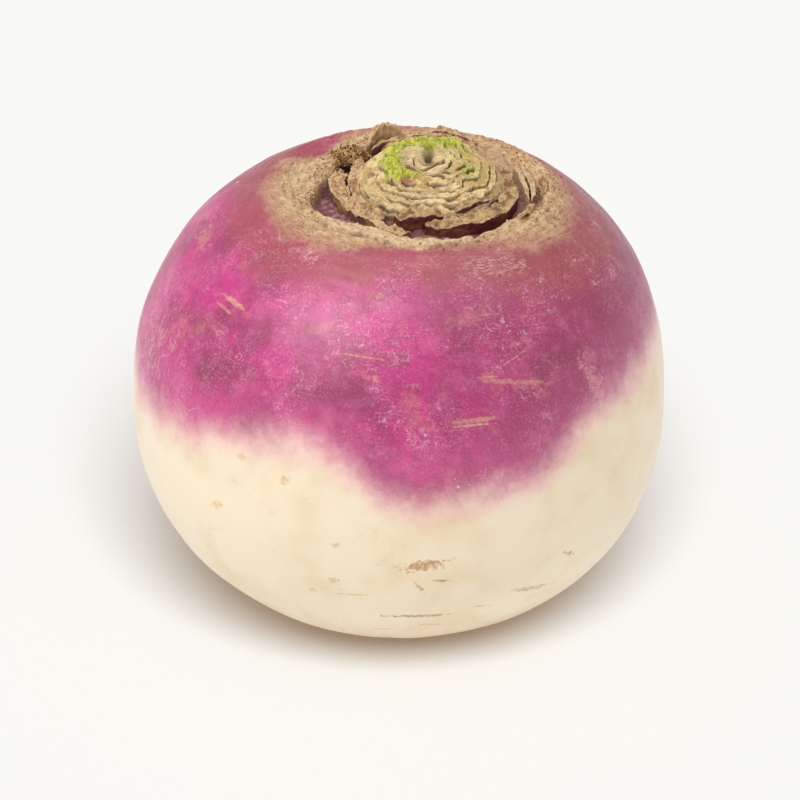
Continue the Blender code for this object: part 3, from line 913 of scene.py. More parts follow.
@dataclass
class Root:
    """The globe, its corky collar and the basin inside it.

    Shares are of the globe's radius. Levels and edges are in millimetres, and so are the
    depths of relief.
    """

    upper_rise: float = 0.9467
    upper_power: float = 2.27
    lower_drop: float = 0.8911
    lower_power: float = 2.18
    flat_spot: float = 0.2444
    belly_shift: float = 0.0289
    upper_sway: float = 2.0
    lower_sway: float = 4.0
    lobe_depth: float = 0.0078
    rim_height: float = 0.84
    crown_tilt: float = 0.045
    floor_radius: float = 0.3956
    rim_radius: float = 0.4611
    collar_radius: float = 0.6667
    basin_depth: float = 0.0578
    floor_dome: float = 0.0267
    blend_start: float = 0.85
    blend_end: float = 0.93
    segments: int = 420
    collar_start: float = 12.0 / 45.0
    collar_end: float = 33.0 / 45.0
    crown_rings: int = 8
    collar_rings: int = 88
    shoulder_rings: int = 46
    lower_rings: int = 60
    spot_rings: int = 10
    floor_reach: Levels = (0.0, 8.0, 10.5, 12.0, 14.2, 16.4, 18.0)
    front_floor: Levels = (0.6, 0.6, 0.2, -0.2, -1.2, -2.2, -2.5)
    back_floor: Levels = (0.6, 0.8, 0.7, 0.5, 0.1, -0.3, -0.5)
    filled: Levels = (0.6, 0.8) + (1.0,) * 5 + (0.9, 0.6, 0.1) + (0.0,) * 12 + (0.1, 0.4)
    rim_edge: Levels = (
        18.8, 18.0, 17.5, 17.5, 17.5, 17.5, 17.5, 17.6, 17.7, 17.8, 17.4, 17.3,
        18.6, 20.5, 21.2, 20.0, 18.9, 20.1, 20.7, 20.9, 19.3, 18.5, 19.2, 19.8,
    )
    collar_edge: Levels = (
        25.0, 24.3, 23.2, 22.8, 23.0, 23.2, 23.5, 24.0, 24.8, 25.5, 26.3, 27.0,
        27.5, 28.3, 29.1, 29.3, 27.6, 24.4, 23.9, 24.4, 24.8, 26.3, 26.2, 25.5,
    )
    purple_edge: Levels = (
        55.0, 53.5, 51.0, 49.0, 49.5, 50.5, 48.5, 46.0, 46.5, 50.0, 53.5, 55.0,
        52.0, 46.8, 47.0, 48.3, 50.8, 50.0, 42.2, 42.4, 43.2, 50.6, 52.6, 54.2,
    )
    noise: Noise = field(default_factory=lambda: Noise(11))

    def __post_init__(self) -> None:
        """Takes the globe's radius, and the crown's axis, from the solids."""
        low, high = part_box("root")
        self.radius = 0.5 * (high.x - low.x)
        low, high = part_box("heart_bud")
        self.crown_x = 0.5 * (low.x + high.x)

    @property
    def widest(self) -> float:
        """Height of the globe's widest level above the flat spot."""
        power = self.lower_power
        return self.radius * self.lower_drop * (1.0 - self.flat_spot**power) ** (1.0 / power)

    def rim_plane(self, y: np.ndarray) -> np.ndarray:
        """Height of the crown's plane at a distance towards the back."""
        return self.widest + self.radius * self.rim_height + self.crown_tilt * y

    def height_over(self, reach: np.ndarray, rise: float, power: float) -> np.ndarray:
        """Height of a turned superellipse, at a share of its radius."""
        return self.radius * rise * (1.0 - np.clip(reach, 0.0, 1.0) ** power) ** (1.0 / power)

    def upper_skin(self, x: np.ndarray, y: np.ndarray) -> np.ndarray:
        """Height of the skin, collar and basin over a place."""
        size = self.radius
        reach = np.hypot(x - self.crown_x, y) / size
        sway = -self.belly_shift * size * (np.hypot(x, y) / size) ** self.upper_sway
        skin = self.widest + self.height_over(np.hypot(x - sway, y) / size, self.upper_rise, self.upper_power)
        collar = 1.0 - ease(self.rim_radius, self.collar_radius, reach)
        outside = skin - np.maximum(skin - self.rim_plane(y), 0.0) * collar
        dome = self.floor_dome * (1.0 - np.minimum(reach / self.floor_radius, 1.0) ** 2)
        floor = self.rim_plane(y) + size * (dome - self.basin_depth)
        wall = np.clip((reach - self.floor_radius) / (self.rim_radius - self.floor_radius), 0.0, 1.0)
        return floor + (outside - floor) * wall

    def upper_half(self, turn: np.ndarray) -> np.ndarray:
        """Points of the upper half, ring by ring from the crown down."""
        power = self.upper_power
        crown = np.linspace(0.01, self.collar_start, self.crown_rings, endpoint=False)
        collar = np.linspace(self.collar_start, self.collar_end, self.collar_rings, endpoint=False)
        polar = np.linspace(math.asin(self.collar_end ** (power / 2.0)), 0.5 * np.pi, self.shoulder_rings)
        reach = np.concatenate([crown, collar, np.sin(polar) ** (2.0 / power)])[:, None]
        polar = np.arcsin(np.minimum(reach ** (power / 2.0), 1.0))
        share = ease(self.collar_radius, self.blend_end, reach)
        sway = -self.belly_shift * reach**self.upper_sway
        x = self.crown_x * (1.0 - share) + self.radius * (sway * share + reach * np.cos(turn))
        y = self.radius * reach * np.sin(turn)
        true = self.widest + self.radius * self.upper_rise * np.cos(polar) ** (2.0 / power)
        blend = ease(self.blend_start, self.blend_end, reach)
        return joined(x, y, self.upper_skin(x, y) * (1.0 - blend) + true * blend)

    def lower_half(self, turn: np.ndarray) -> np.ndarray:
        """Points of the lower half, ring by ring from the widest level to the flat spot."""
        power = self.lower_power
        polar = np.linspace(0.5 * np.pi, math.asin(self.flat_spot ** (power / 2.0)), self.lower_rings)[1:]
        spot = np.linspace(self.flat_spot, 0.004, self.spot_rings)[1:]
        reach = np.concatenate([np.sin(polar) ** (2.0 / power), spot])[:, None]
        height = np.maximum(self.widest - self.height_over(reach, self.lower_drop, power), 0.0)
        x = self.radius * (-self.belly_shift * reach**self.lower_sway + reach * np.cos(turn))
        return joined(x, self.radius * reach * np.sin(turn), height)

    def crown_polar(self, points: np.ndarray) -> tuple[np.ndarray, np.ndarray]:
        """Each point's distance from the crown's axis, in millimetres, and its angle about it."""
        x, y = points[..., 0] - self.crown_x, points[..., 1]
        return np.hypot(x, y) / MM, np.arctan2(y, x)

    def on_skin(self, turn: float, level: float, tilt: float) -> tuple[np.ndarray, ...]:
        """Finds a place on the side of the globe.

        Args:
            turn: degrees anticlockwise from +X.
            level: height above the flat spot, in millimetres.
            tilt: angle of the wanted direction from level, in degrees.

        Returns:
            The place, the wanted direction along the skin, the one across it and the one out of it.
        """
        angle, lean = math.radians(turn), math.radians(tilt)

        def place(height: float) -> np.ndarray:
            """The skin at a height on this side."""
            rise = height - self.widest
            share, power = self.upper_rise, self.upper_power
            if rise < 0.0:
                share, power = self.lower_drop, self.lower_power
            ratio = (1.0 - min(abs(rise) / (share * self.radius), 1.0) ** power) ** (1.0 / power)
            shift = -self.belly_shift * self.radius * ratio**3
            reach = ratio * self.radius
            return np.array([shift + reach * math.cos(angle), reach * math.sin(angle), height])

        up = place((level + 0.2) * MM) - place((level - 0.2) * MM)
        up /= np.linalg.norm(up)
        side = np.array([-math.sin(angle), math.cos(angle), 0.0])
        along = side * math.cos(lean) + up * math.sin(lean)
        across = up * math.cos(lean) - side * math.sin(lean)
        return place(level * MM), along, across, np.cross(side, up)

    def crown_floor(self, points: np.ndarray) -> np.ndarray:
        """Heights of the upper skin with its basin filled and torn as leaf bases leave it.

        Args:
            points: points of the upper half, in metres.

        Returns:
            Their new heights.
        """
        reach, turn = self.crown_polar(points)
        edge = around(self.rim_edge, turn) + 0.5 * self.noise.layered(points / MM, 3.0, 2)
        filled = around(self.filled, turn)
        front = np.interp(reach, self.floor_reach, self.front_floor)
        back = np.interp(reach, self.floor_reach, self.back_floor)
        layers = self.noise.ridged(joined(2.1 * np.cos(turn), 2.1 * np.sin(turn), 0.8 * reach), 1.1, 2)
        plane = self.rim_plane(points[..., 1])
        floor = plane + MM * (front * (1.0 - filled) + back * filled + 0.5 * filled * (layers - 0.6))
        open_skin = plane - 0.25 * MM * ease(edge + 2.5, edge, reach)
        outside = np.where(reach < self.rim_radius * self.radius / MM, open_skin, points[..., 2])
        return floor + (outside - floor) * ease(edge - 1.1, edge + 0.1, reach)

    def relief(self, points: np.ndarray) -> np.ndarray:
        """How far the skin stands out: swells, the cork's cracks and ridges, and the ragged lip.

        Args:
            points: points of the skin, in metres.

        Returns:
            The relief, in millimetres.
        """
        mm, noise = points / MM, self.noise
        reach, turn = self.crown_polar(points)
        side = np.degrees(turn) % 360.0
        top = ease(0.62, 0.75, mm[..., 2] / (self.widest / MM * 2.0))
        body = 0.22 * noise.at(mm, 15.0) + 0.07 * noise.at(mm, 5.0)
        inside = around(self.collar_edge, turn) - reach + 1.6 * noise.layered(mm, 4.0, 2)
        cork = ease(-0.6, 0.9, inside) * top
        rim = around(self.rim_edge, turn)
        ring_x, ring_y = 9.0 * np.cos(turn), 9.0 * np.sin(turn)
        crackle = noise.ridged(joined(0.45 * ring_x, 0.45 * ring_y, 1.2 * reach), 1.3, 3)
        lumps = noise.layered(mm, 1.1, 3)
        crack = near(side, 243.0, 9.0, 4) * near(reach, 23.8 + 0.05 * (side - 245.0), 0.35)
        shell = 0.12 + 0.19 * lumps - 0.4 * ease(0.74, 0.95, crackle) - 0.7 * crack
        hollow = ease(rim - 0.2, rim - 1.6, reach)
        band = self.front_band(reach, side, rim)
        shell = cork * shell * (1.0 - hollow) * (1.0 - 0.6 * band) + 0.8 * band * (0.85 + 0.2 * lumps) * top
        creases = noise.ridged(joined(11.0 * turn, reach * 1.6, 0.0), 1.5, 3)
        shell = shell + 0.3 * self.crinkled(reach, side) * top * (creases - 0.6)
        shell = shell - 0.45 * self.under_band(reach, side, rim) * top
        ragged = 0.25 + 0.35 * noise.layered(joined(ring_x, ring_y, reach) + 5.0, 2.2, 3)
        lip = near(reach, rim + 0.5, 0.9) * ragged * top * (1.0 - 0.6 * band)
        fibres = 0.5 * noise.layered(mm + 40.0, 1.6, 3) * hollow
        wrinkles = 0.07 * noise.at(joined(0.5 * ring_x, 0.5 * ring_y, reach), 0.9)
        shoulder = ease(36.0, 30.0, reach) * (1.0 - cork) * top
        return body * (1.0 - hollow) + shell + lip + fibres + wrinkles * shoulder

    @staticmethod
    def crinkled(reach: np.ndarray, side: np.ndarray) -> np.ndarray:
        """1 on the crinkled skin outside the collar in front, and 0 off it."""
        return near(side, 294.0, 15.0, 4) * near(reach, 27.0, 1.9, 4)

    @staticmethod
    def front_band(reach: np.ndarray, side: np.ndarray, rim: np.ndarray) -> np.ndarray:
        """1 on the stump of the lowest leaf base, which runs along the front of the basin, and 0 off it."""
        width = 2.6 * ease(206.0, 226.0, side) * ease(298.0, 262.0, side)
        return ease(-0.35, 0.0, reach - rim) * ease(0.25, 0.0, reach - rim - width) * (width > 0.3)

    @staticmethod
    def under_band(reach: np.ndarray, side: np.ndarray, rim: np.ndarray) -> np.ndarray:
        """1 in the crease under the stump's outer edge and 0 elsewhere."""
        shown = ease(206.0, 226.0, side) * ease(292.0, 262.0, side)
        return near(reach, rim + 2.6 * shown + 0.4, 0.3) * shown

    def traits(self, points: np.ndarray, turn: np.ndarray, along: np.ndarray) -> Traits:
        """Works out what the skin's colour follows.

        Args:
            points: the skin's points before their relief.
            turn: each column's angle.
            along: each point's distance down the skin from the crown, in millimetres.

        Returns:
            Attribute name to one number, or one vector, a point.
        """
        mm, noise = points / MM, self.noise
        level, size = mm[..., 2], self.radius / MM
        reach, crown_turn = self.crown_polar(points)
        side = np.degrees(crown_turn) % 360.0
        globe_turn = np.arctan2(points[..., 1], points[..., 0] + 0.6 * self.belly_shift * self.radius)
        globe_side = np.degrees(globe_turn) % 360.0
        upper = ease(0.75, 1.0, level / (self.widest / MM * 1.4)) > 0.5
        inside = around(self.collar_edge, crown_turn) - reach
        rim = around(self.rim_edge, crown_turn)
        stray = noise.layered(mm, 1.6, 3)
        bare = near(side, 144.0, 11.0) * near(reach, 23.5, 2.4)
        on_top = {
            "in_basin": ease(rim + 0.1, rim - 1.2, reach) * (1.0 - 0.8 * around(self.filled, crown_turn)),
            "bruise": near(side, 190.0, 42.0, 4) * ease(rim - 0.5, rim - 1.6, reach),
            "stump": self.front_band(reach, side, rim + 0.7 * stray),
            # Where painted shade lies, in the crease under the stump.
            "under": self.under_band(reach, side, rim + 0.3 * stray),
            "crinkled": self.crinkled(reach, side),
            "arc": near(side, 266.0, 12.0, 4) * near(reach, 27.2, 0.55),
            "crumbly": ease(rim + 4.0, rim + 1.0, reach) * ease(rim - 1.5, rim + 0.3, reach)
            * (1.0 - 0.8 * self.front_band(reach, side, rim)),
            "near_collar": ease(-11.5, -1.2, inside),
        }
        spot = np.hypot(mm[..., 0], mm[..., 1]) + 1.5 * noise.layered(mm, 3.0, 2)
        return {name: values * upper for name, values in on_top.items()} | {
            "above_edge": level - around(self.purple_edge, globe_turn),
            "inside_collar": np.where(upper, inside - 9.0 * bare, -30.0),
            "right": mm[..., 0] / size,
            "level": level,
            "flecked": near(globe_side, 287.0, 7.0) * near(level, 69.5, 2.0),
            "scraped": near(globe_side, 200.0, 14.0) * near(level, 55.0, 10.0),
            "tap_scar": 0.85 * (1.0 - ease(0.0, 1.6, level)) * (1.0 - ease(3.0, 7.5, spot)),
            "wrap": joined(size * np.cos(turn), size * np.sin(turn), along),
        }

    def build(self) -> bpy.types.Object:
        """Builds the root with its relief."""
        turn = full_turn(self.segments)
        smooth = np.concatenate([self.upper_half(turn), self.lower_half(turn)])
        fade = np.maximum(1.0 - ((smooth[..., 2] - self.widest) / self.widest) ** 2, 0.0)
        swell = self.lobe_depth * self.radius * fade * (np.cos(3.0 * turn + 1.1) + np.sin(2.0 * turn))
        smooth[..., 0] += swell * np.cos(turn)
        smooth[..., 1] += swell * np.sin(turn)
        steps = np.linalg.norm(np.diff(smooth, axis=0), axis=-1)
        along = np.concatenate([np.zeros((1, len(turn))), np.cumsum(steps, axis=0)]) / MM

        sideways = np.roll(smooth, -1, axis=1) - np.roll(smooth, 1, axis=1)
        out = np.cross(np.gradient(smooth, axis=0), sideways)
        out /= np.maximum(np.linalg.norm(out, axis=-1, keepdims=True), 1e-12)
        crown = self.crown_rings + self.collar_rings
        out *= np.sign(np.sum(out[crown] * smooth[crown]))
        points = smooth.copy()
        points[:crown, :, 2] = self.crown_floor(smooth[:crown])
        depth = self.relief(smooth) * ease(0.0, 2.5, smooth[..., 2] / MM) * MM
        points += out * depth[..., None]
        points[..., 2] = np.maximum(points[..., 2], 0.0)

        faces = shell_faces(len(points), self.segments)
        traits = self.traits(smooth, turn, along)
        piece = make_piece("root_skin", points, faces, traits, SkinFinish().material(self))
        settle(piece, "root_skin", "root")
        return piece


# ---------------------------------------------------------------- the cut leaf bases


class Crown:
    """Where the leaf bases stand: the axes that they curve round."""

    def __init__(self) -> None:
        """Takes the axes from the bud at the heart."""
        low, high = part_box("heart_bud")
        self.heart = np.array([0.5 * (low.x + high.x), 0.5 * (low.y + high.y)])
        self.middle = np.array([self.heart[0], 0.0])

    def freshness(self, points: np.ndarray) -> np.ndarray:
        """How green a leaf is: greenest to the left of the heart and behind it."""
        x, y = np.moveaxis((points[..., :2] - self.heart) / MM - (0.0, 2.0), -1, 0)
        reach = np.hypot(x, y)
        side = np.cos(np.arctan2(y, x) - math.radians(140.0))
        return ease(-0.4, 0.3, side) * ease(1.8, 3.6, reach) * ease(11.0, 7.5, reach)


@dataclass
class WallTrace:
    """The cross-sections of a solid wall that curves round an upright axis.

    Turns are in radians. Corners holds, for each of them, the distance from the axis and
    the height of the outer foot, the outer top, the inner top and the inner foot.
    """

    turns: np.ndarray
    corners: np.ndarray
    axis: np.ndarray

    @classmethod
    def of(cls, node: str, axis: np.ndarray, stations: int = 48) -> "WallTrace":
        """Slices a solid by upright planes through the axis.

        Args:
            node: the solid's name.
            axis: where the upright axis stands.
            stations: number of slices.

        Returns:
            The trace.
        """
        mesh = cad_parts[node].data
        places = np.array([vertex.co for vertex in mesh.vertices], float)
        places[:, :2] -= axis
        triangles = places[np.array([face.vertices[:] for face in mesh.polygons])]
        turns = np.arctan2(places[:, 1], places[:, 0])
        middle = math.atan2(np.sin(turns).sum(), np.cos(turns).sum())
        spread = (turns - middle + np.pi) % (2.0 * np.pi) - np.pi
        low, high = spread.min(), spread.max()
        inset = 0.02 * (high - low)
        wanted = middle + np.linspace(low + inset, high - inset, stations)
        return cls(wanted, np.array([cls.section(triangles, turn) for turn in wanted]), axis)

    @staticmethod
    def section(triangles: np.ndarray, turn: float) -> np.ndarray:
        """Finds the four corners of the wall's section at one angle."""
        across = np.array([-math.sin(turn), math.cos(turn), 0.0])
        outward = np.array([math.cos(turn), math.sin(turn), 0.0])
        found = []
        for first, second in ((0, 1), (1, 2), (2, 0)):
            start, end = triangles[:, first], triangles[:, second]
            before, after = start @ across, end @ across
            crossed = before * after < 0.0
            share = (before[crossed] / (before[crossed] - after[crossed]))[:, None]
            found.append(start[crossed] + share * (end[crossed] - start[crossed]))
        points = np.concatenate(found)
        flat = np.stack([points @ outward, points[:, 2]], axis=-1)
        flat = flat[flat[:, 0] > 0.0]
        ways = np.array([(1.0, -1.0), (1.0, 1.0), (-1.0, 1.0), (-1.0, -1.0)])
        return flat[np.argmax(flat @ ways.T, axis=0)]

    def read(self, turns: np.ndarray) -> np.ndarray:
        """Reads the corners at other angles."""
        table = self.corners.reshape(len(self.turns), -1)
        columns = [np.interp(turns, self.turns, column) for column in table.T]
        return np.stack(columns, axis=-1).reshape(len(turns), 4, 2)


class Stand(Enum):
    """The axis that a leaf base curves round."""

    MIDDLE = "middle"
    HEART = "heart"


@dataclass
class LeafBase:
    """A cut leaf base, rebuilt finely inside its solid's outline.

    Sizes are in millimetres. Sheets is the number of layers that it has split into, and
    step is how much lower each layer is than the one inside it. Ragged is how far the torn
    top edge rises and falls, wave how far the wall wanders from its arc, ruffle how far the
    crimped edge swings, crumb how rough its surface is, and sunk how deep its foot goes
    into the crown.
    """

    node: str
    finish: LeafFinish
    slot: str
    stand: Stand = Stand.MIDDLE
    sheets: int = 1
    step: float = 0.15
    ragged: float = 0.3
    wave: float = 0.2
    ruffle: float = 0.0
    ruffle_size: float = 1.3
    crumb: float = 0.1
    sunk: float = 1.6
    cell: float = 0.13
    flare: float = 1.06
    rounding: int = 8
    side_points: int = 16
    top_points: int = 12

    def walk(self) -> tuple[np.ndarray, ...]:
        """Walks once round a section: up the outer face, over the top, down the inner face and under.

        Returns:
            Across, 0 inside to 1 outside, and up, 0 to 1, at each point of the walk.
        """
        rise = np.linspace(0.0, 1.0, self.side_points, endpoint=False) ** 0.8
        top = np.linspace(0.0, 1.0, self.top_points)
        across = np.concatenate([np.ones_like(rise), 1.0 - top, np.zeros_like(rise), (0.33, 0.67)])
        up = np.concatenate([rise, np.ones_like(top), rise[::-1], (0.0, 0.0)])
        return across, up

    def sheet(self, trace: WallTrace, number: int, noise: Noise) -> tuple[np.ndarray, Traits]:
        """Builds one layer of the leaf base.

        Args:
            trace: the solid's sections.
            number: which layer, 0 for the innermost.
            noise: the noise that it is torn by.

        Returns:
            The layer's points, column by column, and their attributes.
        """
        mean_reach = trace.corners[..., 0].mean()
        columns = max(24, int((trace.turns[-1] - trace.turns[0]) * mean_reach / (self.cell * MM)))
        turns = np.linspace(trace.turns[0], trace.turns[-1], columns)
        foot_out, top_out, top_in, foot_in = np.moveaxis(trace.read(turns), 1, 0)[:, :, None, :]
        across, up = self.walk()
        on_top = up == 1.0
        share = (number + (across if self.sheets == 1 else 0.12 + 0.76 * across)) / self.sheets
        ends = np.minimum(turns - turns[0], turns[-1] - turns)[:, None] * mean_reach / MM
        taper = 0.25 + 0.75 * ease(0.0, 1.6, ends)
        spread = (0.5 + (share - 0.5) * taper * (1.0 + (self.flare - 1.0) * up**2))[..., None]
        foot = foot_in + (foot_out - foot_in) * spread - np.array([0.0, self.sunk * MM])
        top = top_in + (top_out - top_in) * spread
        reach, height = np.moveaxis(foot + (top - foot) * up[:, None], -1, 0)

        run = turns[:, None] * mean_reach / MM
        place = joined(run, 9.0 * number + 3.0 * share, 0.0)
        flat = joined(run, 5.0 * number + 0.0 * share, 0.0)
        edge = up**3
        reach = reach + MM * self.wave * noise.layered(flat, 5.5, 2)
        if self.ruffle:
            fold = noise.layered(flat + 50.0, self.ruffle_size, 2)
            fold = fold + 0.6 * noise.at(flat + 90.0, 0.6 * self.ruffle_size)
            lift = noise.layered(flat + 70.0, 0.8 * self.ruffle_size, 2)
            reach = reach + MM * self.ruffle * fold * up**1.5
            height = height + MM * 0.7 * self.ruffle * lift * up**2
        torn = noise.layered(place, 2.4, 3) - 0.8 * ease(0.35, 0.7, noise.at(place + 20.0, 1.9))
        crown = np.abs(2.0 * across - 1.0)
        worn = (0.12 * edge * (1.0 - crown**2) + 0.22 * crown**self.rounding) * on_top
        height = height + MM * (edge * (self.ragged * torn - self.step * number) - worn)

        outward = joined(np.cos(turns), np.sin(turns))[:, None, :]
        points = np.concatenate([outward * reach[..., None] + trace.axis, height[..., None]], axis=-1)
        rough = MM * self.crumb * (0.4 + 0.6 * edge) * noise.layered(points / MM, 0.9, 3)
        facing = (2.0 * across - 1.0) * (1.0 - 0.7 * on_top)
        points[..., :2] += outward * (rough * facing)[..., None]
        points[..., 2] += rough * edge
        thickness = share * (foot_out - foot_in)[..., 0].mean() / MM
        traits = {
            "cut": ease(0.9, 1.0, up),
            "outer": ease(0.3, 0.7, across),
            "rim": ease(0.9, 1.0, up) * crown**6,
            # Painted shade, darkest at the wall's foot, where it stands among its neighbours in the crown.
            "deep": 0.8 * ease(0.75, 0.1, up),
        }
        traits = {name: np.broadcast_to(values, points.shape[:2]) for name, values in traits.items()}
        return points, traits | {"grain": joined(run, thickness, (height - height.min()) / MM)}

    def build(self, crown: Crown) -> bpy.types.Object:
        """Builds the leaf base and puts it in its solid's place.

        Args:
            crown: the axes that leaf bases curve round.

        Returns:
            The finished piece.
        """
        trace = WallTrace.of(self.node, crown.heart if self.stand is Stand.HEART else crown.middle)
        noise = Noise(sum(map(ord, self.node)))
        layers = [self.sheet(trace, number, noise) for number in range(self.sheets)]
        columns, walk = layers[0][0].shape[:2]
        size = columns * walk
        faces = [face for number in range(self.sheets) for face in shell_faces(columns, walk, number * size)]
        points = np.concatenate([layer.reshape(size, 3) for layer, _ in layers])
        traits = {"fresh": crown.freshness(points)}
        for name in layers[0][1]:
            traits[name] = np.concatenate([found[name].reshape(size, -1) for _, found in layers])
        piece = make_piece(f"{self.node}_leaf", points, faces, traits, FINISHED[self.finish.name])
        settle(piece, self.slot, self.node)
        return piece


LEAF_BASES = (
    LeafBase("outer_base_left", DRY, "dry_leaf", ragged=0.5, wave=0.4, crumb=0.28),
    LeafBase("outer_base_right", PURPLE_WALLED, "dry_leaf", ragged=0.55, wave=0.4, crumb=0.28),
    LeafBase("outer_base_side", PINKISH, "pale_leaf", sheets=2, wave=0.25),
    LeafBase("side_sliver", DRY, "dry_leaf", ragged=0.4, wave=0.3, cell=0.1),
    LeafBase("torn_scrap", DRY, "dry_leaf", ragged=0.9, wave=0.55, crumb=0.35, sunk=0.4, cell=0.09),
    LeafBase("back_ridge", DRY, "dry_leaf", ragged=0.6, wave=0.4, crumb=0.3, cell=0.1),
    LeafBase("middle_base_left", DRY, "dry_leaf", ragged=0.45, wave=0.3, crumb=0.18),
    LeafBase("middle_base_front", PURPLE_WALLED, "purple_leaf", ragged=0.55, wave=0.35, crumb=0.26, cell=0.1),
    LeafBase("middle_base_right", PURPLE_WALLED, "purple_leaf", wave=0.25, cell=0.1),
    LeafBase("middle_base_side", DRY, "dry_leaf", sheets=2, ragged=0.25, wave=0.25),
    LeafBase("middle_base_back", DRY, "dry_leaf", ragged=0.45, wave=0.3, crumb=0.2),
    LeafBase("inner_base_left", PINKISH, "pale_leaf", ragged=0.25),
    LeafBase("inner_base_side", PINKISH, "pale_leaf", sheets=2, ragged=0.2),
    LeafBase("inner_base_back", DRY, "pale_leaf", sheets=2, wave=0.3),
    LeafBase("whorl_leaf_front", CREAMY, "cream_leaf", sheets=3, step=0.35, ragged=0.25),
    LeafBase("whorl_leaf_left", CREAMY, "cream_leaf", Stand.HEART, ragged=0.2, cell=0.1),
    LeafBase("whorl_leaf_side", CREAMY, "cream_leaf", sheets=3, ragged=0.2),
    LeafBase("whorl_leaf_back", CREAMY, "cream_leaf", Stand.HEART, sheets=3, wave=0.3),
    LeafBase(
        "heart_leaf_left", LEAFY, "green_heart", Stand.HEART,
        sheets=3, ruffle=0.9, crumb=0.18, cell=0.09,
    ),
    LeafBase(
        "heart_leaf_right", CREAMY, "cream_leaf", Stand.HEART,
        sheets=3, step=0.3, ragged=0.15, ruffle=0.25, cell=0.1,
    ),
    LeafBase(
        "heart_leaf_back", LEAFY, "green_heart", Stand.HEART,
        sheets=3, ruffle=0.9, crumb=0.18, cell=0.09,
    ),
    LeafBase("dry_leaf_flap", PAPERY, "dry_leaf", ragged=0.35, wave=0.6, crumb=0.3, cell=0.09),
)


